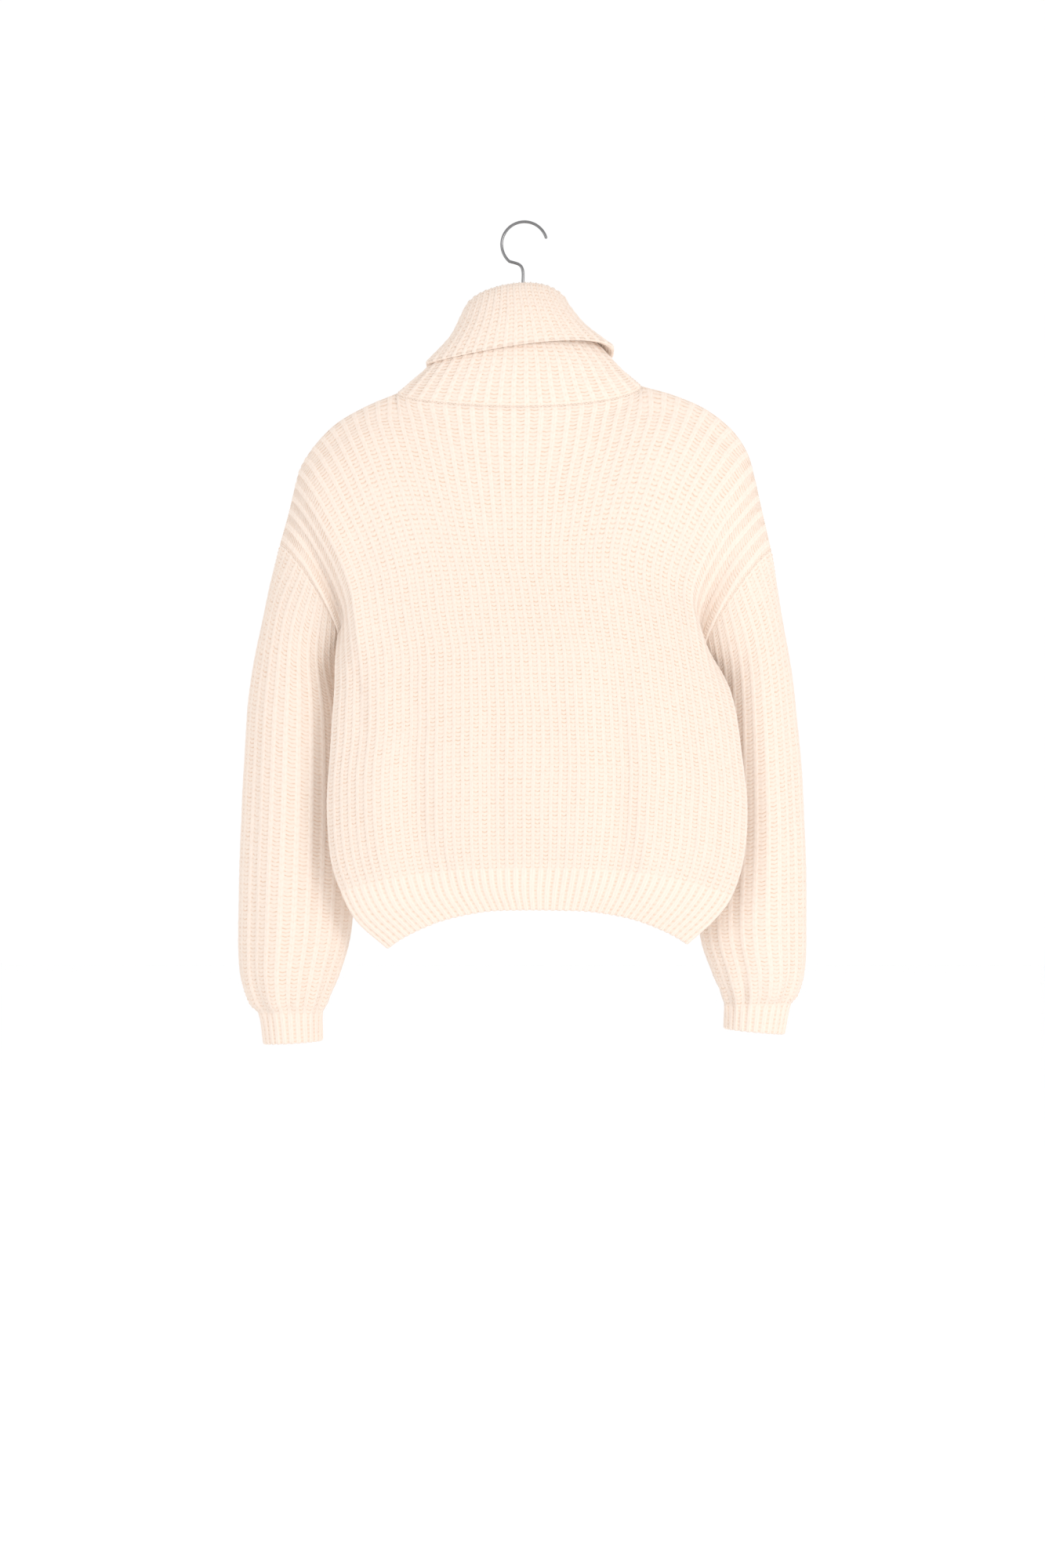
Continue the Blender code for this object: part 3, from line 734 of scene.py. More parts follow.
@dataclass
class Surface:
    """A piece's plain outer surface with its outward directions.

    Attributes:
        grid: The points, row by row.
        out: The outward directions.
        ribs: Where the columns lie, counted in ribs.
        places: Where the rows lie, counted in the form's stations.
        closed: Whether the piece closes round on itself.
    """

    grid: Grid
    out: Grid
    ribs: Grid
    places: Grid
    closed: bool

    @classmethod
    def of(cls, grid: Grid, ribs: Grid, places: Grid, closed: bool, turn: float) -> "Surface":
        """Work out a surface's directions from its points.

        Args:
            grid: The points, row by row.
            ribs: Where the columns lie.
            places: Where the rows lie.
            closed: Whether the piece closes round on itself.
            turn: 1 or -1, so that the directions point outward.

        Returns:
            The surface.
        """
        down = np.gradient(grid, axis=0)
        across = np.roll(grid, -1, axis=1) - np.roll(grid, 1, axis=1)
        if not closed:
            across = np.gradient(grid, axis=1)
        longest = np.linalg.norm(np.diff(grid, axis=0), axis=2).sum(axis=0).max()
        log.info("the piece's longest line of stitches is %.0f mm", longest)
        return cls(grid, unit(np.cross(down, across)) * turn, ribs, places, closed)

    def lean(self, pick: Any, share: float, shared: Grid) -> None:
        """Turn the picked directions a share of the way to those shared at a seam."""
        self.out[pick] = unit(self.out[pick] * (1 - share) + shared * share)

    def lean_rows(self, shared: Grid, reach: int) -> None:
        """Turn the first rows' directions to those shared at the seam."""
        for row in range(reach):
            self.lean(row, 1 - ease(row / reach), shared)

    def lean_side(self, shared: Grid, rows: Grid, arm: Arm, reach: float) -> None:
        """Turn the directions near one side edge to those shared at the seam.

        Args:
            shared: The directions at the seam.
            rows: Which rows have them.
            arm: The side of the body.
            reach: How far in they reach, counted in ribs.
        """
        away = self.ribs if arm is Arm.LEFT else self.ribs[-1] - self.ribs
        for column in np.flatnonzero(away < reach):
            self.lean((rows, column), 1 - ease(away[column] / reach), shared)


@dataclass(frozen=True)
class BodyForm:
    """The body's two panels as they hang: shoulders, side folds, courses and folds."""

    ribs: int = 50
    neck_ribs: int = 20
    rows: tuple[BodyRow, ...] = (
        BodyRow(-387, -216, -418, 213, -432, -58, 56, -26, 22, 3, 15, -28, 13),
        BodyRow(-463, -205, -494, 225, -505, -62, 52, -25, -16, -20, 2, -3, 7),
        BodyRow(-531, -206, -560, 235, -569, -63, 48, -24, -24, -24, 0, 0, 0),
        BodyRow(-599, -211, -626, 242, -632, -62, 46, -22, -22, -22, 0, 0, 0),
        BodyRow(-659, -208, -684, 238, -686, -58, 42, -20, -20, -20, 0, 0, 0),
        BodyRow(-697, -197, -722, 226, -727, -52, 37, -17, -17, -17, 0, 0, 0),
        BodyRow(-722, -180, -756, 207, -754, -44, 31, -13, -13, -13, 0, 0, 0),
        BodyRow(-742, -148, -785, 179, -780, -36, 26, -8, -8, -8, 0, 0, 0),
    )
    left_shoulder: Line = (
        (-263, -348), (-254, -316), (-246, -283), (-239, -262),
        (-222, -237), (-200, -216), (-170, -199), (-137, -185),
    )
    right_shoulder: Line = (
        (269, -355), (260, -316), (251, -276), (243, -249),
        (226, -224), (198, -202), (164, -187), (129, -177),
    )
    neck: Ring = Ring(-137, 129, -40, 50, -202, -185, -177, -246)
    neck_steps: int = 800
    shoulder_steps: int = 400
    course_steps: int = 900
    course_sag: float = 2.8
    front_hem_lift: float = 5.0
    back_fullness: float = 0.95
    front_fullness: float = 1.5
    ridge_inward: float = 0.12
    ridge_outward: float = 0.78
    seam_inward: float = 0.35
    seam_back: float = 0.9
    seam_front: float = 1.3
    seam_blend: tuple[float, float] = (0.78, 0.22)
    gusset_blend: tuple[float, float] = (0.86, 0.14)
    gusset_round: float = 0.7
    gusset_fall: float = 0.45
    underarm_pull: float = 0.8
    neck_blend: tuple[float, float] = (0.28, 0.16)
    neck_round: float = 0.25
    neck_fall: float = 0.9
    tuck_blend: tuple[float, float] = (0.80, 0.20)
    fold_fade: tuple[float, float] = (0.90, 0.10)
    fold_power: float = 1.3
    calm_ribs: float = 4.5
    calm_start: float = 0.16
    calm_end: tuple[float, float] = (0.7, 0.3)
    calm_side: tuple[float, float] = (0.62, 0.2)
    back_folds: tuple[Fold, ...] = (
        Fold(-0.60, -0.50, 1.6, 7.4, 0.075, -6.5),
        Fold(-0.22, -0.17, 2.2, 7.0, 0.060, -3.0),
        Fold(0.36, 0.40, 1.8, 7.4, 0.070, -7.5),
        Fold(0.66, 0.74, 2.2, 7.4, 0.065, -4.0),
        Fold(-0.76, -0.70, 1.8, 7.2, 0.080, 4.0),
        Fold(0.18, 0.22, 1.8, 7.2, 0.090, 4.0),
        Fold(-0.95, -0.93, 0.15, 1.2, 0.045, -9.0),
        Fold(0.95, 0.93, 0.15, 1.2, 0.045, -9.0),
        Fold(-0.83, -0.82, 0.20, 2.0, 0.060, 6.0),
        Fold(0.83, 0.82, 0.20, 2.0, 0.060, 5.0),
        Fold(-0.86, -0.80, 1.6, 3.4, 0.030, -3.0),
        Fold(-0.46, -0.40, 4.6, 7.6, 0.030, -2.0),
        Fold(0.50, 0.56, 4.4, 7.6, 0.035, 2.0),
        Fold(0.84, 0.80, 3.0, 6.6, 0.040, -2.6),
    )
    front_folds: tuple[Fold, ...] = (
        Fold(-0.42, -0.36, 1.5, 7.4, 0.080, -6.0),
        Fold(0.08, 0.04, 2.0, 7.0, 0.070, -4.0),
        Fold(0.55, 0.50, 1.6, 7.4, 0.075, -6.5),
        Fold(-0.16, -0.12, 1.8, 7.2, 0.090, 4.0),
        Fold(0.30, 0.28, 2.0, 7.2, 0.090, 4.0),
        Fold(-0.70, -0.62, 3.0, 7.4, 0.040, -2.4),
        Fold(0.78, 0.70, 3.4, 7.2, 0.040, 2.2),
    )

    def neck_ends(self) -> tuple[float, float]:
        """Return the ribs at which the neck starts and ends."""
        return (self.ribs - self.neck_ribs) / 2, (self.ribs + self.neck_ribs) / 2

    def neck_angles(self, side: Side, shares: Grid) -> Grid:
        """Return where points of the neck seam lie on its ring.

        Args:
            side: The panel.
            shares: How far along its half of the seam each point lies.

        Returns:
            The angle of each point.
        """
        dense = np.linspace(0, np.pi, self.neck_steps)
        run = run_along(ring_point(self.neck, -side.value * dense))
        return -side.value * np.interp(shares * run[-1], run, dense)

    def shoulder(self, table: Line, shares: Grid) -> Grid:
        """Return points of a shoulder.

        Args:
            table: Its silhouette.
            shares: How far along it from the armhole to the neck each point lies.

        Returns:
            The points.
        """
        points = np.array([(x, 0.0, z) for x, z in table])
        places = np.linspace(0, len(points) - 1, self.shoulder_steps)
        return at_shares(curve_through(points, places), shares)

    def top_edge(self, side: Side, ribs: Grid) -> Grid:
        """Return a panel's top edge: left shoulder, half of the neck seam, right shoulder.

        Args:
            side: The panel.
            ribs: Where the wanted points lie, counted in ribs.

        Returns:
            The points.
        """
        start, end = self.neck_ends()
        left = self.shoulder(self.left_shoulder, np.clip(ribs / start, 0, 1))
        right = self.shoulder(self.right_shoulder, np.clip((self.ribs - ribs) / start, 0, 1))
        share = np.clip((ribs - start) / self.neck_ribs, 0, 1)
        neck = ring_point(self.neck, self.neck_angles(side, share))
        return np.where((ribs < start)[:, None], left, np.where((ribs > end)[:, None], right, neck))

    def course(self, row: BodyRow, side: Side) -> Grid:
        """Return one row of stitches of a panel.

        Args:
            row: The row's sizes.
            side: The panel.

        Returns:
            Two points to a rib.
        """
        back = side is Side.BACK
        inset = 0.0 if back else row.front_inset
        middle = (row.left_x + row.right_x) / 2
        half = (row.right_x - row.left_x) / 2 - inset
        reach, fold_y = (row.back_y, row.back_fold_y) if back else (row.front_y, row.front_fold_y)
        angles = np.linspace(0, np.pi, self.course_steps)
        x = middle - half * np.cos(angles)
        fullness = self.back_fullness if back else self.front_fullness
        y = fold_y + (reach - fold_y) * np.sin(angles) ** fullness
        edge_z = np.where(x < middle, row.left_z, row.right_z)
        mid_z = row.mid_z + (0.0 if back else self.front_hem_lift)
        z = mid_z + (edge_z - mid_z) * np.abs(np.cos(angles)) ** self.course_sag
        points = at_shares(np.stack([x, y, z], axis=1), np.linspace(0, 1, 2 * self.ribs + 1))
        wales = np.linspace(-1, 1, 2 * self.ribs + 1)
        tuck = ease(np.abs(wales), *self.tuck_blend)
        points[:, 0] -= np.sign(wales) * tuck * (row.tuck_x - inset)
        points[:, 1] += tuck * (row.seam_y - fold_y)
        points[:, 2] += tuck * row.tuck_z
        return points

    def leaving(self, side: Side, top: Grid, wales: Grid) -> Grid:
        """Return the way in which the cloth leaves a panel's top edge.

        Args:
            side: The panel.
            top: The top edge.
            wales: How far from the middle its points lie, from -1 to 1.

        Returns:
            A direction for each point.
        """
        edge = np.gradient(top, axis=0)
        inward = unit(np.stack([edge[:, 2], np.zeros(len(top)), -edge[:, 0]], axis=1))
        outward = np.array([0.0, side.value, 0.0])
        ridge = self.ridge_inward * inward + self.ridge_outward * outward
        seam_out = self.seam_back if side is Side.BACK else self.seam_front
        seam = self.seam_inward * inward + seam_out * outward
        below_neck = np.array([0.0, side.value * self.neck_round, -self.neck_fall])
        share = ease(np.abs(wales), *self.seam_blend)[:, None]
        away = ease(np.abs(wales), *self.neck_blend)[:, None]
        return below_neck * (1 - away) + (ridge * (1 - share) + seam * share) * away

    def points(self, side: Side, places: Grid, ribs: Grid) -> Grid:
        """Return a panel's outer surface.

        Args:
            side: The back or the front.
            places: The rows, from 0 at the top edge over 1 at the underarm to 8 at the hem.
            ribs: Where the columns lie, counted in ribs.

        Returns:
            The points, row by row.
        """
        wales = np.linspace(-1, 1, 2 * self.ribs + 1)
        top = self.top_edge(side, np.linspace(0, self.ribs, 2 * self.ribs + 1))
        rows = np.array([self.course(row, side) for row in self.rows])
        length = np.linalg.norm(rows[0] - top, axis=1)[:, None]
        start = self.leaving(side, top, wales) * length
        gusset = ease(np.abs(wales), *self.gusset_blend)[:, None]
        end = unit(rows[1] - rows[0]) * (1 - gusset) * self.underarm_pull
        inside = np.array([0.0, -side.value * self.gusset_round, -self.gusset_fall])
        end = (end + gusset * inside) * length
        start, end = curve_through(start, 2 * ribs), curve_through(end, 2 * ribs)
        rows = curve_through(rows.swapaxes(0, 1), 2 * ribs).swapaxes(0, 1)
        t = places[places <= 1].reshape(-1, 1, 1)
        upper = hermite(t, self.top_edge(side, ribs), start, rows[0], end)
        upper = upper + self.calming(upper, t, ribs)
        grid = np.concatenate([upper, curve_through(rows, places[places > 1] - 1)])
        wales = ribs / self.ribs * 2 - 1
        folds = self.back_folds if side is Side.BACK else self.front_folds
        depths = fold_depths(folds, wales, places, self.fold_power)
        grid[:, :, 1] += side.value * depths * (1 - ease(np.abs(wales), *self.fold_fade))
        return grid

    def calming(self, upper: Grid, t: Grid, ribs: Grid) -> Grid:
        """Return the move that evens out the cloth below the neck's corners.

        Args:
            upper: The plain surface between the top edge and the underarm.
            t: How far down each row lies, from 0 to 1.
            ribs: Where the columns lie, counted in ribs.

        Returns:
            One move for each point, none along the edges.
        """
        gaps = np.gradient(ribs) if len(ribs) > 1 else np.ones(1)
        weights = bell(ribs[:, None], ribs[None], self.calm_ribs) * gaps[None]
        weights = weights / weights.sum(axis=1, keepdims=True)
        share = ease(t / self.calm_start) * (1 - ease(t, *self.calm_end))
        inner = 1 - ease(np.abs(ribs / self.ribs * 2 - 1), *self.calm_side)
        level = np.einsum("jk,rkc->rjc", weights, upper) - upper
        return level * share * inner[None, :, None]


@dataclass(frozen=True)
class SleeveForm:
    """The balloon sleeves: rings from the armhole to the cuff, soft folds and gathers."""

    ribs: int = 26
    left: tuple[SleeveRing, ...] = (
        SleeveRing(-279, -412, -204, -490, 31, 35),
        SleeveRing(-297, -506, -188, -549, 38, 43),
        SleeveRing(-306, -633, -183, -659, 44, 45),
        SleeveRing(-310, -761, -188, -762, 45, 44),
        SleeveRing(-308, -814, -200, -812, 44, 40),
        SleeveRing(-298, -845, -212, -843, 43, 33),
        SleeveRing(-288, -859, -219, -858, 42, 27),
        SleeveRing(-283, -890, -220, -886, 41, 26),
    )
    right: tuple[SleeveRing, ...] = (
        SleeveRing(281, -421, 208, -500, 34, 35),
        SleeveRing(295, -506, 206, -549, 40, 43),
        SleeveRing(306, -633, 200, -659, 48, 45),
        SleeveRing(309, -761, 194, -762, 48, 44),
        SleeveRing(307, -812, 207, -812, 46, 40),
        SleeveRing(299, -836, 217, -836, 45, 33),
        SleeveRing(291, -849, 221, -850, 44, 27),
        SleeveRing(285, -879, 221, -873, 43, 26),
    )
    folds: tuple[Fold, ...] = (
        Fold(0.10, 0.13, 1.2, 6.4, 0.030, -2.6),
        Fold(0.22, 0.20, 0.8, 6.6, 0.035, 2.4),
        Fold(0.33, 0.30, 1.6, 6.8, 0.028, -3.0),
        Fold(0.42, 0.44, 0.6, 5.8, 0.035, 2.0),
        Fold(0.60, 0.58, 1.2, 6.6, 0.035, -2.8),
        Fold(0.74, 0.77, 1.4, 6.6, 0.040, 2.4),
        Fold(0.88, 0.86, 1.0, 6.4, 0.035, -2.6),
    )
    gather_count: int = 11
    gather_rise: float = 2.2
    gather_place: float = 6.2
    gather_reach: float = 0.9
    gather_sway: float = 1.3
    gather_sways: int = 3

    def points(self, arm: Arm, armhole: Grid, places: Grid, ribs: Grid) -> Grid:
        """Return a sleeve's outer surface.

        Args:
            arm: The left or the right sleeve.
            armhole: The points of its first ring, in the armhole.
            places: The rows, from 0 at the armhole to 8 at the cuff's edge.
            ribs: Where the columns lie, counted in ribs.

        Returns:
            The points, ring by ring.
        """
        turn = 2 * np.pi * ribs / self.ribs
        stations = [armhole]
        for ring in self.left if arm is Arm.LEFT else self.right:
            x = (ring.outer_x + ring.inner_x) / 2 + (ring.outer_x - ring.inner_x) / 2 * np.cos(turn)
            z = (ring.outer_z + ring.inner_z) / 2 + (ring.outer_z - ring.inner_z) / 2 * np.cos(turn)
            stations.append(np.stack([x, ring.mid_y - ring.half_y * np.sin(turn), z], axis=1))
        return curve_through(np.array(stations), places)

    def depths(self, places: Grid, ribs: Grid) -> Grid:
        """Return how far the folds and the gathers push each point of a sleeve out.

        Args:
            places: Where the rows lie.
            ribs: Where the columns lie.

        Returns:
            The depths, ring by ring.
        """
        shares = ribs / self.ribs
        near = bell(places, self.gather_place, self.gather_reach)[:, None]
        sway = self.gather_sway * np.sin(2 * np.pi * shares * self.gather_sways)
        gathers = np.cos(2 * np.pi * self.gather_count * shares + sway)
        gathered = self.gather_rise * near * gathers[None]
        return fold_depths(self.folds, shares, places, 1.0) + gathered


@dataclass(frozen=True)
class CollarForm:
    """The roll neck: rings from the neck seam up the under layer, over the fold and down again."""

    rings: tuple[Ring, ...] = (
        Ring(-121, 113, -37, 54, -176, -174, -166, -222),
        Ring(-105, 99, -34, 59, -150, -162, -154, -200),
        Ring(-85, 76, -30, 63, -122, -143, -129, -178),
        Ring(-66, 56, -21, 68, -88, -116, -106, -154),
        Ring(-58, 44, -13, 74, -74, -100, -97, -142, -2.0, 0.0, 0.90),
        Ring(-61, 47, -18, 80, -70, -99, -96, -138, -2.5, 0.0, 0.85),
        Ring(-65, 52.5, -26, 82, -80, -107, -104, -143, -2.0, 0.0, 0.90),
        Ring(-78, 70, -34, 80, -101, -129, -121, -162, -3.0, 1.0),
        Ring(-102, 96, -39, 76, -128, -152, -138, -186, -7.0, 5.0),
    )

    def points(self, body: BodyForm, places: Grid, ribs: Grid) -> Grid:
        """Return the collar's sheet, which starts on the neck seam and lies mid-cloth above it.

        Args:
            body: The body, which has the neck seam.
            places: The rows, from 0 at the seam to 9 at the turned-over edge.
            ribs: Where the columns lie, counted in ribs.

        Returns:
            The points, ring by ring.
        """
        back = ribs <= body.neck_ribs
        share = np.where(back, ribs, 2 * body.neck_ribs - ribs) / body.neck_ribs
        angles = np.where(
            back, body.neck_angles(Side.BACK, share), body.neck_angles(Side.FRONT, share)
        )
        stations = [ring_point(ring, angles) for ring in (body.neck, *self.rings)]
        return curve_through(np.array(stations), places)


class Face(NamedTuple):
    """One face of a knitted wall: its points and the marks that the finish reads there."""

    points: Grid
    marks: Grid

    @classmethod
    def of(cls, points: Grid, ribs: Grid, courses: Grid, heights: Grid, ribbing: Grid) -> "Face":
        """Return a face with the rib, course, height and tightness at each point."""
        parts = np.broadcast_arrays(ribs[None], courses[:, None], heights, ribbing[:, None])
        return cls(points, np.stack(parts, axis=-1))


@dataclass(kw_only=True)
class Knitted:
    """What the knitted pieces share: each is a closed wall of two faces, cut flat from cloth.

    Attributes:
        stitch: The knit's own sizes.
        finish: The knit material.
        flat: The flat cut's width and length in metres; not used.
        flat_area: Its area in square metres; not used.
        held: How the cloth is held; not used.
        rests_on: The pieces that carry it; not used.
        slot: The material slot of its solid; not used.
        relief_seed: The number that gives the same unevenness on each run.
        course_way: 1 where the courses are counted down from the seam, -1 where up.
        inner_rows: How many rows of stitches one row of the plain inside takes.
        inner_height: How high the stitches of the plain inside are taken to stand.
    """

    stitch: Stitch
    finish: bpy.types.Material
    flat: tuple[float, float]
    flat_area: float
    held: str = "hung"
    rests_on: tuple[str, ...] = ("knitted_back", "knitted_front")
    slot: str = "knit"
    relief_seed: int = 11
    course_way: int = 1
    inner_rows: int = 8
    inner_height: float = 0.8

    def edged(
        self, surface: Surface, outer: Grid, wall: Grid, heights: Grid, ribbing: Grid
    ) -> Face:
        """Return the outer face with its free edge rolled over to the inside.

        Args:
            surface: The piece's plain surface.
            outer: The outer face's points.
            wall: The wall at each point, with its stitches.
            heights: How high the stitches stand.
            ribbing: How much each row belongs to a tight rib edge.

        Returns:
            The face.
        """
        edge, out, thick = outer[-1], surface.out[-1], wall[-1][:, None]
        down = unit(edge - outer[-2])
        middle = edge - out * thick / 2
        angles = np.pi * np.arange(1, self.stitch.edge_rows + 1) / (self.stitch.edge_rows + 1)
        roll = [middle + (out * np.cos(a) + down * np.sin(a)) * thick / 2 for a in angles]
        outer = np.concatenate([outer, roll])
        rows = np.arange(len(outer))
        read = np.minimum(rows, len(heights) - 1)
        courses = self.course_way * rows / 2
        return Face.of(outer, surface.ribs, courses, heights[read], ribbing[read])

    def plain_inside(self, surface: Surface, inner: Grid, ribbing: Grid) -> Face:
        """Return the inside face on fewer rows and columns.

        Args:
            surface: The piece's plain surface.
            inner: The inside's points on all rows and columns.
            ribbing: How much each row belongs to a tight rib edge.

        Returns:
            The face.
        """
        count = len(inner)
        rows = np.round(np.linspace(0, count - 1, count // self.inner_rows)).astype(int)
        columns = np.flatnonzero(surface.ribs % 0.5 == 0)
        heights = np.full((len(rows), len(columns)), self.inner_height)
        points = inner[np.ix_(rows, columns)]
        return Face.of(points, surface.ribs[columns], rows / 2, heights, ribbing[rows])

    def rim(self, outside: int, inside: int, turned: bool) -> list[list[tuple[int, int]]]:
        """Return triangles between an outer and an inner edge.

        Args:
            outside: How many points the outer edge has.
            inside: How many the inner edge has.
            turned: Whether the triangles go the other way round.

        Returns:
            The triangles, as pairs of an edge's number, 0 or 1, and a point's.
        """
        faces = []
        i = j = 0
        while i < outside - 1 or j < inside - 1:
            ahead = (i + 1) / (outside - 1) <= (j + 1) / (inside - 1)
            if i < outside - 1 and (ahead or j == inside - 1):
                face = [(0, i), (0, i + 1), (1, j)]
                i += 1
            else:
                face = [(0, i), (1, j + 1), (1, j)]
                j += 1
            faces.append(face[::-1] if turned else face)
        return faces

    def close(self, surface: Surface, outer: Face, inner: Face) -> tuple[list, Grid]:
        """Join two faces to a closed wall.

        Args:
            surface: The piece's plain surface.
            outer: The face that the stitches stand on.
            inner: The face behind it.

        Returns:
            The wall's faces, and the marks of their corners.
        """
        faces, marks, grids = [], [], []
        first, beside, below = outer.points[0, 0], outer.points[0, 1], outer.points[1, 0]
        turned = bool(np.dot(np.cross(beside - first, below - first), surface.out[0, 0]) < 0)
        start = 0
        for face, flip in ((outer, turned), (inner, not turned)):
            size = face.points.shape[0] * face.points.shape[1]
            index = start + np.arange(size).reshape(face.points.shape[:2])
            start += size
            read = face.marks
            if surface.closed:
                index = np.concatenate([index, index[:, :1]], axis=1)
                wrap = read[:, :1].copy()
                wrap[..., 0] = np.ceil(read[:, -1:, 0])
                read = np.concatenate([read, wrap], axis=1)
            grids.append((index, read))
            made, found = quads(index, read, CORNERS[::-1] if flip else CORNERS)
            faces.extend(made)
            marks.append(found)
        edges = [(np.s_[0, :], not turned), (np.s_[-1, :], turned)]
        if not surface.closed:
            edges += [(np.s_[:, 0], turned), (np.s_[:, -1], not turned)]
        for pick, flip in edges:
            lines = [(index[pick], read[pick]) for index, read in grids]
            for corners in self.rim(len(lines[0][0]), len(lines[1][0]), flip):
                faces.append([int(lines[edge][0][k]) for edge, k in corners])
                marks.append(np.array([lines[edge][1][k] for edge, k in corners]))
        return faces, np.concatenate(marks)

    def sew(self, node: str, surface: Surface, outer: Face, inner: Face) -> bpy.types.Object:
        """Make the piece and let it stand for its solid.

        Args:
            node: The name of the solid.
            surface: The piece's plain surface.
            outer: The face that the stitches stand on.
            inner: The face behind it.

        Returns:
            The piece.
        """
        faces, marks = self.close(surface, outer, inner)
        points = np.concatenate([outer.points.reshape(-1, 3), inner.points.reshape(-1, 3)])
        points = points + np.array([SHANK_X, 0.0, 0.0])
        layers = {"knit": marks[:, :2], "relief": marks[:, 2:]}
        piece = add_piece("knitted_" + node, points, faces, layers, self.finish)
        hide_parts(node)
        triangles = sum(len(face) - 2 for face in faces)
        log.info("%s stands for %s: %d triangles", piece.name, node, triangles)
        return piece


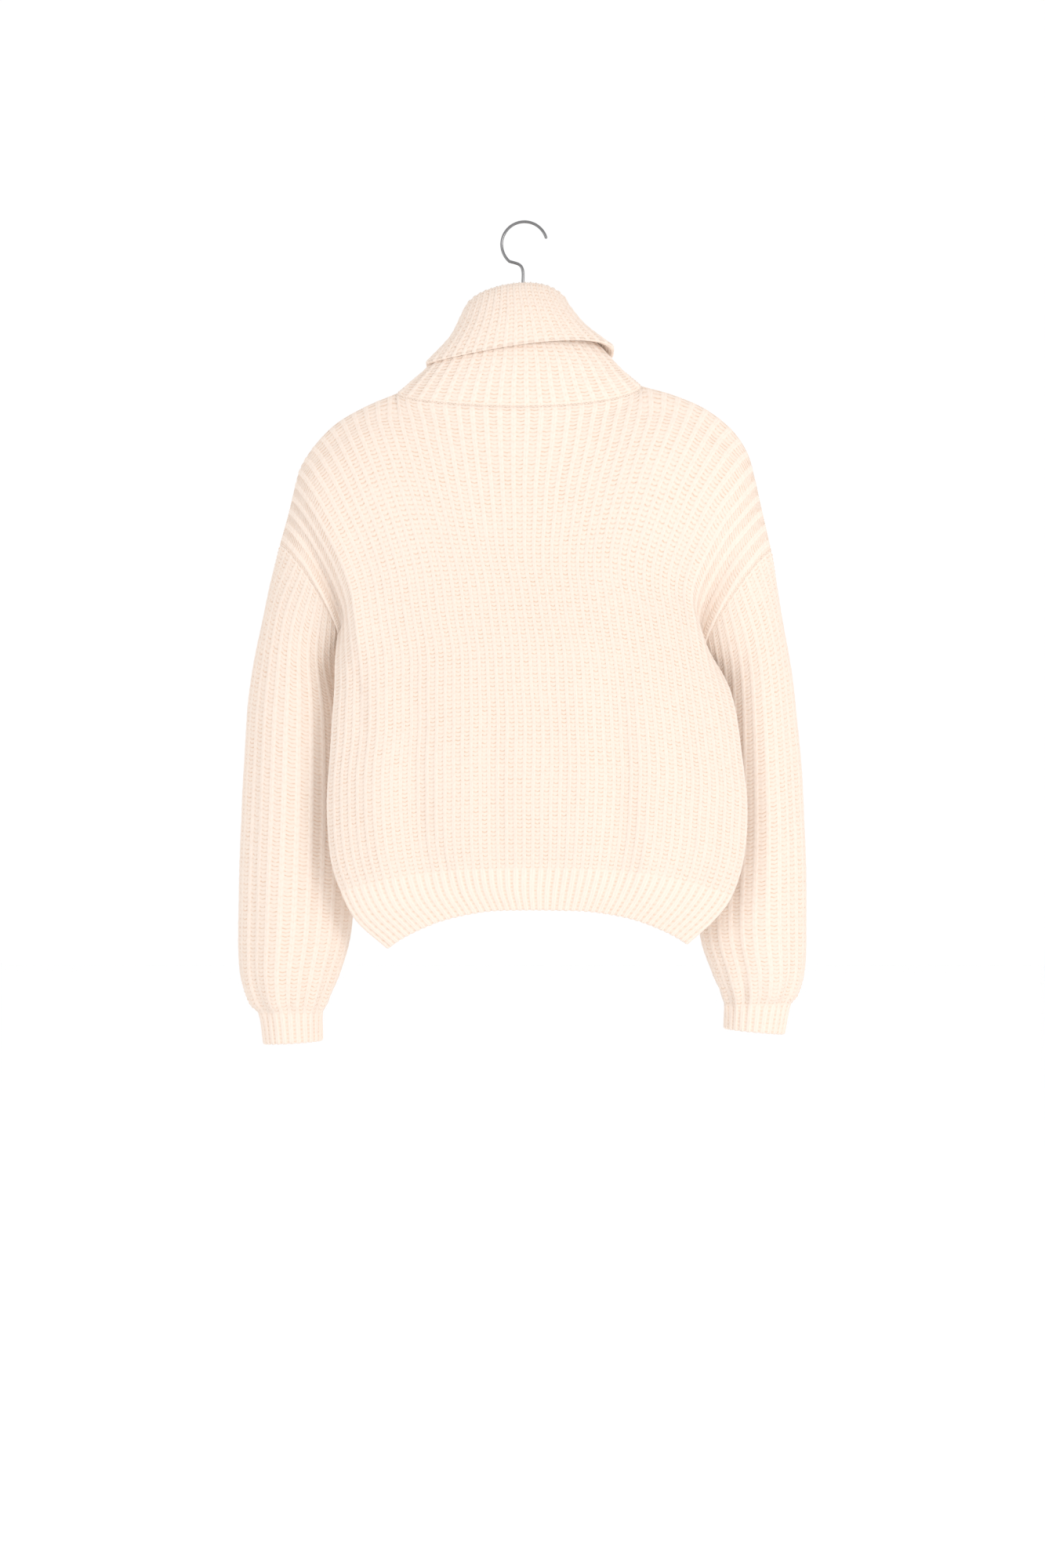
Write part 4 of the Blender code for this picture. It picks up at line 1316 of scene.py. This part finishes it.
@dataclass
class Pattern:
    """Lays out all the knitted surfaces and lets neighbours share directions at their seams."""

    stitch: Stitch
    body: BodyForm
    sleeve: SleeveForm
    collar: CollarForm
    seam_rows: int = 5
    seam_ribs: float = 0.6
    own_reach: float = 0.3
    fine_steps: int = 100

    def even_places(self, line: Grid, dense: Grid) -> Grid:
        """Return places that step evenly along a line, two rows to a course.

        Args:
            line: Points of the line.
            dense: The place of each point.

        Returns:
            The places of the rows.
        """
        run = run_along(line)
        count = 2 * int(round(run[-1] / self.stitch.row_step / 2)) + 1
        log.info("a piece of %d courses, %.0f mm long", count // 2, run[-1])
        return np.interp(np.linspace(0, run[-1], count), run, dense)

    def lay_panel(self, side: Side) -> Surface:
        """Lay out one panel.

        Args:
            side: The back or the front.

        Returns:
            Its surface.
        """
        start, end = self.body.neck_ends()
        ribs = self.stitch.columns(self.body.ribs, (0.0, start, end, self.body.ribs))
        last = len(self.body.rows)
        dense = np.linspace(0, last, last * self.fine_steps + 1)
        middle = self.body.points(side, dense, np.array([self.body.ribs / 2]))[:, 0]
        places = self.even_places(middle, dense)
        return Surface.of(self.body.points(side, places, ribs), ribs, places, False, -side.value)

    def armhole_edge(self, side: Side, arm: Arm, shares: Grid) -> Grid:
        """Return points of a panel's armhole.

        Args:
            side: The panel.
            arm: The armhole.
            shares: How far along it from the shoulder each point lies.

        Returns:
            The points.
        """
        column = np.array([0.0 if arm is Arm.LEFT else float(self.body.ribs)])
        places = np.linspace(0, 1, 3 * self.fine_steps + 1)
        edge = self.body.points(side, places, column)[:, 0]
        return at_shares(edge, shares)

    def lay_sleeve(self, arm: Arm) -> Surface:
        """Lay out one sleeve, which starts on the armhole.

        Args:
            arm: The left or the right sleeve.

        Returns:
            Its surface.
        """
        half = self.sleeve.ribs / 2
        ribs = self.stitch.columns(self.sleeve.ribs, (0.0, half))
        shares = ribs[ribs <= half] / half
        armhole = around(*(self.armhole_edge(side, arm, shares) for side in Side))
        last = len(self.sleeve.left)
        dense = np.linspace(0, last, last * self.fine_steps + 1)
        middle = self.sleeve.points(arm, armhole, dense, ribs)[:, len(ribs) // 4]
        places = self.even_places(middle, dense)
        grid = self.sleeve.points(arm, armhole, places, ribs)
        return Surface.of(grid, ribs, places, True, 1 if arm is Arm.LEFT else -1)

    def lay_collar(self) -> Surface:
        """Lay out the collar.

        Returns:
            Its sheet.
        """
        ribs = self.stitch.columns(2 * self.body.neck_ribs, (0.0, self.body.neck_ribs))
        last = len(self.collar.rings)
        dense = np.linspace(0, last, last * self.fine_steps + 1)
        middle = self.collar.points(self.body, dense, np.array([self.body.neck_ribs / 2]))[:, 0]
        places = self.even_places(middle, dense)
        grid = self.collar.points(self.body, places, ribs)
        return Surface.of(grid, ribs, places, True, -1)

    def share_seams(
        self, panels: dict[Side, Surface], sleeves: dict[Arm, Surface], collar: Surface
    ) -> None:
        """Let neighbours share their directions at the neck, shoulders, armholes and sides.

        Args:
            panels: The back and the front.
            sleeves: The two sleeves.
            collar: The collar.
        """
        start, end = self.body.neck_ends()
        ribs = panels[Side.BACK].ribs
        neck = (ribs >= start) & (ribs <= end)
        tops = {side: panels[side].out[0].copy() for side in Side}
        edges = {(side, arm): panels[side].out[:, arm.value].copy() for side in Side for arm in Arm}
        shoulders = unit(tops[Side.BACK] + tops[Side.FRONT])
        necks = {}
        for side, mate in halves(collar.out[0]).items():
            necks[side] = unit(tops[side][neck] + mate)
            necks[side][[0, -1]] = shoulders[neck][[0, -1]]
            shared = shoulders.copy()
            shared[neck] = necks[side]
            panels[side].lean_rows(shared, self.seam_rows)
        collar.lean_rows(around(*necks.values()), self.seam_rows)
        for arm, sleeve in sleeves.items():
            self.share_armhole(arm, sleeve, panels, edges)

    def share_armhole(
        self,
        arm: Arm,
        sleeve: Surface,
        panels: dict[Side, Surface],
        edges: dict[tuple[Side, Arm], Grid],
    ) -> None:
        """Let a sleeve and the panels share their directions at the armhole and the side seam.

        Args:
            arm: The side of the body.
            sleeve: The sleeve.
            panels: The back and the front.
            edges: The panels' own directions along their side edges.
        """
        half = self.sleeve.ribs / 2
        shares = sleeve.ribs[sleeve.ribs <= half] / half
        met = {}
        for side, mate in halves(sleeve.out[0]).items():
            panel, other = panels[side], Side(-side.value)
            rows = panel.places <= 1
            run = run_along(panel.grid[rows, arm.value])
            run = run / run[-1]
            own = bell(panel.places[rows], 1.0, self.own_reach)[:, None]
            edge = edges[side, arm][rows]
            shared = unit(edge + sample(mate, shares, run) * (1 - own))
            panel.lean_side(shared, rows, arm, self.seam_ribs)
            met[side] = unit(mate + sample(edge, run, shares) * (1 - sample(own, run, shares)))
            seam = sample(edges[other, arm], panels[other].places, panel.places[~rows])
            panel.lean_side(unit(edges[side, arm][~rows] + seam), ~rows, arm, self.seam_ribs)
        sleeve.lean_rows(around(*met.values()), self.seam_rows)


@dataclass(kw_only=True)
class Body(Knitted):
    """The back and the front, each one knitted piece from the shoulders to the hem."""

    form: BodyForm
    thin_wall: float = 1.0
    thin_wales: float = 0.05
    thin_rows: float = 0.6
    hem_rows: tuple[float, float] = (5.95, 0.20)
    wander_rows: float = 14.0
    wander_ribs: float = 2.4
    ripple_seed: int = 5
    sway_pace: tuple[float, float] = (1.6, 0.7)
    sway_seed: int = 15
    flat: tuple[float, float] = (0.60, 0.59)
    flat_area: float = 0.27
    rests_on: tuple[str, ...] = ("hanger_bar",)

    def walls(self, panel: Surface) -> Grid:
        """Return the wall at each point, pressed thin in the seams under the arms.

        Args:
            panel: The panel's surface.

        Returns:
            The wall, row by row.
        """
        wales = np.abs(panel.ribs / self.form.ribs * 2 - 1)
        near_arm = bell(panel.places, 1.0, self.thin_rows)[:, None]
        near_seam = bell(wales, 1.0, self.thin_wales)[None]
        return self.stitch.wall - (self.stitch.wall - self.thin_wall) * near_arm * near_seam

    def dips(self, panel: Surface) -> Grid:
        """Return how much each point is pressed in by a seam beside it.

        Args:
            panel: The panel's surface.

        Returns:
            The shares, row by row.
        """
        from_top = np.arange(len(panel.places))[:, None] * self.stitch.row_step
        from_side = np.minimum(panel.ribs, self.form.ribs - panel.ribs)[None] * self.stitch.rib_width
        return np.maximum(self.stitch.dip(from_top), self.stitch.dip(from_side))

    def build(self, side: Side, panel: Surface) -> bpy.types.Object:
        """Make one panel.

        Args:
            side: The back or the front.
            panel: Its surface.

        Returns:
            The piece.
        """
        stitch, facing = self.stitch, side.value
        ribbing = ease(panel.places, *self.hem_rows)
        rows = len(panel.places)
        heights = stitch.relief(rows, panel.ribs, ribbing, self.relief_seed + facing)
        walls, dips = self.walls(panel), self.dips(panel)
        row, rib = np.arange(rows)[:, None] / self.wander_rows, panel.ribs[None] / self.wander_ribs
        ripple = stitch.ripple * soft_noise(row, rib, self.ripple_seed + facing)
        lift = stitch.lift(heights, dips, walls) + ripple * (1 - dips)
        row, rib = row * self.sway_pace[0], rib * self.sway_pace[1]
        sway = stitch.sway * soft_noise(row, rib, self.sway_seed + facing) * (1 - dips)
        across = unit(np.gradient(panel.grid, axis=1))
        outer = panel.grid + panel.out * lift[..., None] + across * sway[..., None]
        inner = panel.grid - panel.out * walls[..., None]
        face = self.edged(panel, outer, walls + lift, heights, ribbing)
        return self.sew(side.name.lower(), panel, face, self.plain_inside(panel, inner, ribbing))


@dataclass(kw_only=True)
class Tube(Knitted):
    """What the sleeves and the collar share: a knitted tube that wanders a little all round."""

    wander_rows: tuple[float, float] = (12.0, 12.0)
    wander_round: float = 2.0
    wander_share: float = 0.5
    wander_seeds: tuple[int, int] = (41, 42)

    def wander(self, turn: Grid, rows: int, change: int) -> Grid:
        """Return how far the cloth wanders in and out.

        Args:
            turn: Where the columns lie round the tube, as an angle.
            rows: How many rows there are.
            change: What is added to the seeds for this piece.

        Returns:
            The distance, row by row.
        """
        total = 0.0
        for wave, pace, seed in zip((np.cos, np.sin), self.wander_rows, self.wander_seeds):
            row = np.arange(rows)[:, None] / pace
            total = total + soft_noise(row, self.wander_round * wave(turn), seed + change)
        return self.wander_share * self.stitch.ripple * total

    def dips(self, surface: Surface) -> Grid:
        """Return how much each point is pressed in by the seam at the tube's start."""
        dip = self.stitch.dip(np.arange(len(surface.places))[:, None] * self.stitch.row_step)
        return np.broadcast_to(dip, surface.grid.shape[:2])


@dataclass(kw_only=True)
class Sleeves(Tube):
    """The two balloon sleeves with their rib cuffs."""

    form: SleeveForm
    thin_wall: float = 1.0
    thin_rows: float = 0.7
    thin_ribs: float = 1.3
    cuff_rows: tuple[float, float] = (6.83, 0.24)
    wander_rows: tuple[float, float] = (14.0, 12.0)
    wander_round: float = 2.2
    wander_seeds: tuple[int, int] = (7, 9)
    relief_seed: int = 21
    flat: tuple[float, float] = (0.31, 0.56)
    flat_area: float = 0.14

    def build(self, arm: Arm, sleeve: Surface) -> bpy.types.Object:
        """Make one sleeve.

        Args:
            arm: The left or the right sleeve.
            sleeve: Its surface.

        Returns:
            The piece.
        """
        stitch, places, ribs = self.stitch, sleeve.places, sleeve.ribs
        ribbing = ease(places, *self.cuff_rows)
        heights = stitch.relief(len(places), ribs, ribbing, self.relief_seed + arm.value)
        underarm = bell(ribs, self.form.ribs / 2, self.thin_ribs)[None]
        near = bell(places, 0.0, self.thin_rows)[:, None]
        walls = stitch.wall - (stitch.wall - self.thin_wall) * near * underarm
        dips = self.dips(sleeve)
        turn = 2 * np.pi * ribs[None] / self.form.ribs
        wander = self.wander(turn, len(places), arm.value)
        lift = stitch.lift(heights, dips, walls) + wander * (1 - dips)
        base = sleeve.grid + sleeve.out * (self.form.depths(places, ribs) * (1 - dips))[..., None]
        outer = base + sleeve.out * lift[..., None]
        inner = base - sleeve.out * walls[..., None]
        face = self.edged(sleeve, outer, walls + lift, heights, ribbing)
        inside = self.plain_inside(sleeve, inner, ribbing)
        return self.sew("sleeve_" + arm.name.lower(), sleeve, face, inside)


@dataclass(kw_only=True)
class RollNeck(Tube):
    """The roll neck: one knitted tube that rises from the neck seam and turns over."""

    shown_rows: tuple[float, float] = (2.5, 0.8)
    seam_rise: float = 0.6
    fold_start: float = 3.9
    inside_relief: float = 0.45
    flat: tuple[float, float] = (0.48, 0.21)
    flat_area: float = 0.10
    held: str = "folded"
    slot: str = "collar_knit"
    relief_seed: int = 31
    course_way: int = -1

    def build(self, collar: Surface) -> bpy.types.Object:
        """Make the collar, with stitches on both of its faces.

        Args:
            collar: Its sheet.

        Returns:
            The piece.
        """
        stitch, rows = self.stitch, len(collar.places)
        places, plain = collar.places[:, None], np.zeros(rows)
        heights = stitch.relief(rows, collar.ribs, plain, self.relief_seed)
        dips = self.dips(collar)
        inset = stitch.wall / 2 * np.clip(1 - places, 0, 1)
        middle = collar.grid - collar.out * inset[..., None]
        half = np.full(heights.shape, stitch.wall / 2)
        shown = 1 - ease(places, *self.shown_rows)
        turned = self.inside_relief + (1 - self.inside_relief) * ease(places, self.fold_start)
        turned = turned * ease(places, 0.0, self.seam_rise)
        last = 1 - stitch.rib_columns[-1]
        turn = 2 * np.pi * collar.ribs[None] / (collar.ribs[-1] + last)
        wander = self.wander(turn, rows, 0) * (1 - dips)
        out_lift = stitch.lift(heights * shown, dips, half) + wander
        in_lift = stitch.rib_rise * heights * turned - wander
        outer = middle + collar.out * (half + out_lift)[..., None]
        inner = middle - collar.out * (half + in_lift)[..., None]
        face = self.edged(collar, outer, 2 * half + out_lift + in_lift, heights, plain)
        courses = self.course_way * np.arange(rows) / 2
        inside = Face.of(inner, collar.ribs, courses, heights, plain)
        return self.sew("collar", collar, face, inside)


@dataclass
class Strand:
    """A round strand along a line: seam yarn, tack stitch or wire."""

    name: str
    radius: float
    sides: int = 8
    ply_length: float = 2.4
    tip_angles: tuple[float, float] = (25.0, 60.0)

    def build(self, line: Grid, closed: bool, finish: bpy.types.Material) -> bpy.types.Object:
        """Make the strand, with rounded ends where it is open.

        Args:
            line: The points of its middle.
            closed: Whether it meets itself.
            finish: Its material.

        Returns:
            The piece.
        """
        ahead = np.roll(line, -1, axis=0) - np.roll(line, 1, axis=0)
        ahead = unit(ahead if closed else np.gradient(line, axis=0))
        radii = np.full(len(line), self.radius)
        if not closed:
            tips = np.radians(self.tip_angles)
            reach = np.cos(tips)[:, None] * self.radius
            before, after = line[0] - ahead[0] * reach, line[-1] + ahead[-1] * reach[::-1]
            line = np.concatenate([before, line, after])
            ahead = ahead[np.clip(np.arange(-2, len(ahead) + 2), 0, len(ahead) - 1)]
            ends = np.sin(tips) * self.radius
            radii = np.concatenate([ends, radii, ends[::-1]])
        side = np.zeros_like(line)
        guide = np.array([0.0, 1.0, 0.0]) if abs(ahead[0][1]) < 0.9 else np.array([1.0, 0.0, 0.0])
        for k, forward in enumerate(ahead):
            guide = unit(guide - forward * np.dot(guide, forward))
            side[k] = guide
        up = np.cross(ahead, side)
        turn = 2 * np.pi * np.arange(self.sides)[:, None] / self.sides
        rings = side[:, None] * np.cos(turn) + up[:, None] * np.sin(turn)
        points = line[:, None] + rings * radii[:, None, None]
        index = np.arange(radii.size * self.sides).reshape(-1, self.sides)
        index = np.concatenate([index, index[:, :1]], axis=1)
        run = run_along(line)[:, None] / self.ply_length
        share = np.arange(self.sides + 1)[None] / self.sides
        marks = np.stack(np.broadcast_arrays(share, run), axis=-1)
        if closed:
            index = np.concatenate([index, index[:1]])
            last = marks[:1].copy()
            last[..., 1] = np.round(run[-1] + 1)
            marks = np.concatenate([marks, last])
        faces, read = quads(index, marks, CORNERS[:1] + CORNERS[:0:-1])
        if not closed:
            faces += [index[0, :-1].tolist(), index[-1, :-1][::-1].tolist()]
            read = np.concatenate([read, marks[0, :-1], marks[-1, :-1][::-1]])
        return add_piece(self.name, points, faces, {"twist": read}, finish)


@dataclass
class Seams:
    """The linked seams between the pieces, and two tack stitches below the neck."""

    stitch: Stitch
    form: BodyForm
    radius: float = 0.7
    zigzag: float = 0.6
    hop: float = 0.3
    stride: float = 4.3
    stride_points: int = 6
    yarn_sides: int = 6
    proud: float = 0.05
    tack_radius: float = 0.55
    tack_length: float = 5.0
    tack_sink: float = 0.5
    tack_end_sink: float = 2.2
    tack_points: int = 9
    probe_y: float = -0.3
    tacks: tuple[Spot, ...] = (Spot(-29.75, -218.5, 0.25), Spot(23.8, -214.2, -0.2))

    def link(self, name: str, line: Grid, out: Grid, closed: bool, yarn: Any) -> None:
        """Sew one seam along a line.

        Args:
            name: The strand's name.
            line: The seam's points.
            out: The outward directions along it.
            closed: Whether it runs round and meets itself.
            yarn: The yarn's material.
        """
        if closed:
            line, out = np.concatenate([line, line[:1]]), np.concatenate([out, out[:1]])
        run = run_along(line)
        strides = max(int(round(run[-1] / self.stride)), 2)
        wanted = np.linspace(0, run[-1], strides * self.stride_points + 1)
        points, aim = sample(line, run, wanted), unit(sample(out, run, wanted))
        across = np.cross(unit(np.gradient(points, axis=0)), aim)
        phase = np.pi * wanted / run[-1] * strides * 2
        points = points + across * (self.zigzag * np.sin(phase))[:, None]
        level = -self.stitch.seam_dip + self.proud + self.hop * np.cos(2 * phase)
        points = points + aim * level[:, None] + np.array([SHANK_X, 0.0, 0.0])
        strand = Strand(name, self.radius, self.yarn_sides)
        strand.build(points[:-1] if closed else points, closed, yarn)
        log.info("%s: %.0f mm of seam", name, run[-1])

    def tack(self, number: int, back: BVHTree, yarn: bpy.types.Material) -> None:
        """Lay one short stitch on the back.

        Args:
            number: The stitch's number, from 1.
            back: The back's surface.
            yarn: The yarn's material.
        """
        spot = self.tacks[number - 1]
        shares = np.linspace(-1, 1, self.tack_points)
        points = []
        for share in shares:
            x = spot.x + share * self.tack_length / 2
            z = spot.z + share * spot.slant * self.tack_length / 2
            start = Vector((x * MM, self.probe_y, z * MM))
            hit = back.ray_cast(start, Vector((0, 1, 0)))[0]
            points.append(np.array(hit) / MM)
        line = np.array(points)
        line[:, 1] = line[:, 1].mean() - self.tack_sink * self.tack_radius
        line[:, 1] += self.tack_end_sink * self.tack_radius * np.abs(shares) ** 3
        Strand("tack_stitch_%d" % number, self.tack_radius).build(line, False, yarn)

    def build(
        self,
        panels: dict[Side, Surface],
        sleeves: dict[Arm, Surface],
        collar: Surface,
        back_piece: bpy.types.Object,
        yarn: bpy.types.Material,
    ) -> None:
        """Sew all the seams and the tack stitches.

        Args:
            panels: The back and the front.
            sleeves: The two sleeves.
            collar: The collar.
            back_piece: The back's piece, which carries the tack stitches.
            yarn: The yarn's material.
        """
        self.link("seam_neck", collar.grid[0], collar.out[0], True, yarn)
        back = panels[Side.BACK]
        start, end = self.form.neck_ends()
        shoulders = {Arm.LEFT: back.ribs <= start, Arm.RIGHT: back.ribs >= end}
        for arm, sleeve in sleeves.items():
            name = arm.name.lower()
            self.link("seam_armhole_" + name, sleeve.grid[0], sleeve.out[0], True, yarn)
            for seam, pick in (
                ("seam_shoulder_", (0, shoulders[arm])),
                ("seam_side_", (back.places >= 1, arm.value)),
            ):
                self.link(seam + name, back.grid[pick], back.out[pick], False, yarn)
        mesh = back_piece.data
        corners = [vertex.co for vertex in mesh.vertices]
        tree = BVHTree.FromPolygons(corners, [tuple(face.vertices) for face in mesh.polygons])
        for number in range(1, len(self.tacks) + 1):
            self.tack(number, tree, yarn)


@dataclass
class Hanger:
    """The hanger: a round wooden bar inside the shoulders and a polished wire hook."""

    wire_radius: float = 1.6
    wire_sides: int = 24
    hook_radius: float = 24.6
    tip_angle: float = 18.0
    turn_angle: float = 228.0
    foot_z: float = -158.65
    shank_top: float = -70.0
    loop_points: int = 97
    bend_points: int = 46
    shank_points: int = 24
    bend: Line = ((-5.5, -45.0), (SHANK_X, -52.0), (SHANK_X, -66.0))

    def build(self, wood: bpy.types.Material, chrome: bpy.types.Material) -> None:
        """Dress the bar and make the hook's smooth wire.

        Args:
            wood: The bar's material.
            chrome: The wire's material.
        """
        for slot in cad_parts["hanger_bar"].material_slots:
            slot.material = wood
        turn = np.radians(np.linspace(self.tip_angle, self.turn_angle, self.loop_points))
        x, z = self.hook_radius * np.cos(turn), self.hook_radius * np.sin(turn)
        loop = np.stack([x, 0 * turn, self.wire_radius - self.hook_radius + z], axis=1)
        bend = np.array([loop[-1]] + [(x, 0.0, z) for x, z in self.bend])
        bend = curve_through(bend, np.linspace(0, len(self.bend), self.bend_points))
        shank = np.linspace(self.shank_top, self.foot_z, self.shank_points)
        foot = np.array([[SHANK_X, 0.0, z] for z in shank])
        line = np.concatenate([loop, bend[1:], foot])
        strand = Strand("wire_hook", self.wire_radius, self.wire_sides)
        piece = strand.build(line, False, chrome)
        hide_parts("hook")
        log.info("wire_hook stands for hook; hanger_bar keeps its solid")


class Lamp(NamedTuple):
    """A square soft light that faces the garment: its width in metres, its power in watts."""

    name: str
    place: tuple[float, float, float]
    width: float
    power: float
    colour: tuple[float, float, float]


@dataclass
class Studio:
    """The floor, the soft lights and the camera square on to the garment's back."""

    floor_z: float = -1.35
    floor_half: float = 14.0
    camera_x: float = -0.0021
    camera_z: float = -0.608
    distance: float = 5.0
    view_height: float = 1.7
    sensor: float = 36.0
    world: float = 0.82
    exposure: float = 0.30
    lamps: tuple[Lamp, ...] = (
        Lamp("key_light", (2.6, -3.4, 0.0), 1.6, 38.0, (1.0, 0.985, 0.965)),
        Lamp("fill_light", (-3.0, -3.0, -0.1), 2.6, 16.0, (0.98, 0.99, 1.0)),
        Lamp("rear_light", (0.4, 3.2, 1.2), 2.4, 18.0, (1.0, 1.0, 1.0)),
    )

    def hang(self, lamp: Lamp) -> None:
        """Hang one light.

        Args:
            lamp: The light.
        """
        light = bpy.data.lights.new(lamp.name, "AREA")
        light.shape = "SQUARE"
        light.size = lamp.width
        light.energy = lamp.power
        light.color = lamp.colour
        hung = bpy.data.objects.new(lamp.name, light)
        hung.location = lamp.place
        aim = Vector((0.0, 0.0, self.camera_z)) - Vector(lamp.place)
        hung.rotation_euler = aim.to_track_quat("-Z", "Y").to_euler()
        bpy.context.scene.collection.objects.link(hung)

    def build(self) -> None:
        """Lay the floor, hang the lights and set up the camera and the sky."""
        reach = self.floor_half
        mesh = bpy.data.meshes.new("studio_floor")
        corners = [(-reach, -reach), (reach, -reach), (reach, reach), (-reach, reach)]
        mesh.from_pydata([(x, y, self.floor_z) for x, y in corners], [], [(0, 1, 2, 3)])
        mesh.materials.append(FloorFinish().build())
        floor = bpy.data.objects.new("studio_floor", mesh)
        bpy.context.scene.collection.objects.link(floor)
        for lamp in self.lamps:
            self.hang(lamp)
        sky = bpy.data.worlds.new("studio_sky")
        sky.use_nodes = True
        shade = sky.node_tree.nodes["Background"]
        shade.inputs["Color"].default_value = (1.0, 1.0, 1.0, 1.0)
        shade.inputs["Strength"].default_value = self.world
        bpy.context.scene.world = sky
        lens = bpy.data.cameras.new("camera")
        lens.sensor_fit = "AUTO"
        lens.sensor_width = self.sensor
        lens.lens = self.sensor * self.distance / self.view_height
        lens.clip_end = 50.0
        camera = bpy.data.objects.new("camera", lens)
        camera.location = (self.camera_x, -self.distance, self.camera_z)
        camera.rotation_euler = (np.pi / 2, 0.0, 0.0)
        bpy.context.scene.collection.objects.link(camera)
        bpy.context.scene.camera = camera
        settings = bpy.context.scene.view_settings
        settings.view_transform = "Standard"
        settings.look = "None"
        settings.exposure = self.exposure
        log.info("studio: floor, three lights and the camera")


def write_sizes() -> None:
    """Update the view layer."""
    bpy.context.view_layer.update()


def main() -> None:
    """Build the sub-assemblies in order and report each piece."""
    logging.basicConfig(level=logging.INFO, format="%(name)s: %(message)s")
    stitch, body, sleeve = Stitch(), BodyForm(), SleeveForm()
    pattern = Pattern(stitch, body, sleeve, CollarForm())
    panels = {side: pattern.lay_panel(side) for side in Side}
    sleeves = {arm: pattern.lay_sleeve(arm) for arm in Arm}
    collar = pattern.lay_collar()
    pattern.share_seams(panels, sleeves, collar)
    knit = KnitFinish("cream_knit").build()
    neck_knit = KnitFinish("collar_knit_cream").build()
    yarn = YarnFinish().build()
    panel_maker = Body(stitch=stitch, form=body, finish=knit)
    pieces = {side: panel_maker.build(side, panels[side]) for side in Side}
    sleeve_maker = Sleeves(stitch=stitch, form=sleeve, finish=knit)
    for arm in Arm:
        sleeve_maker.build(arm, sleeves[arm])
    RollNeck(stitch=stitch, finish=neck_knit).build(collar)
    Seams(stitch, body).build(panels, sleeves, collar, pieces[Side.BACK], yarn)
    Hanger().build(WoodFinish().build(), ChromeFinish().build())
    Studio().build()
    write_sizes()


if __name__ == "__main__":
    main()
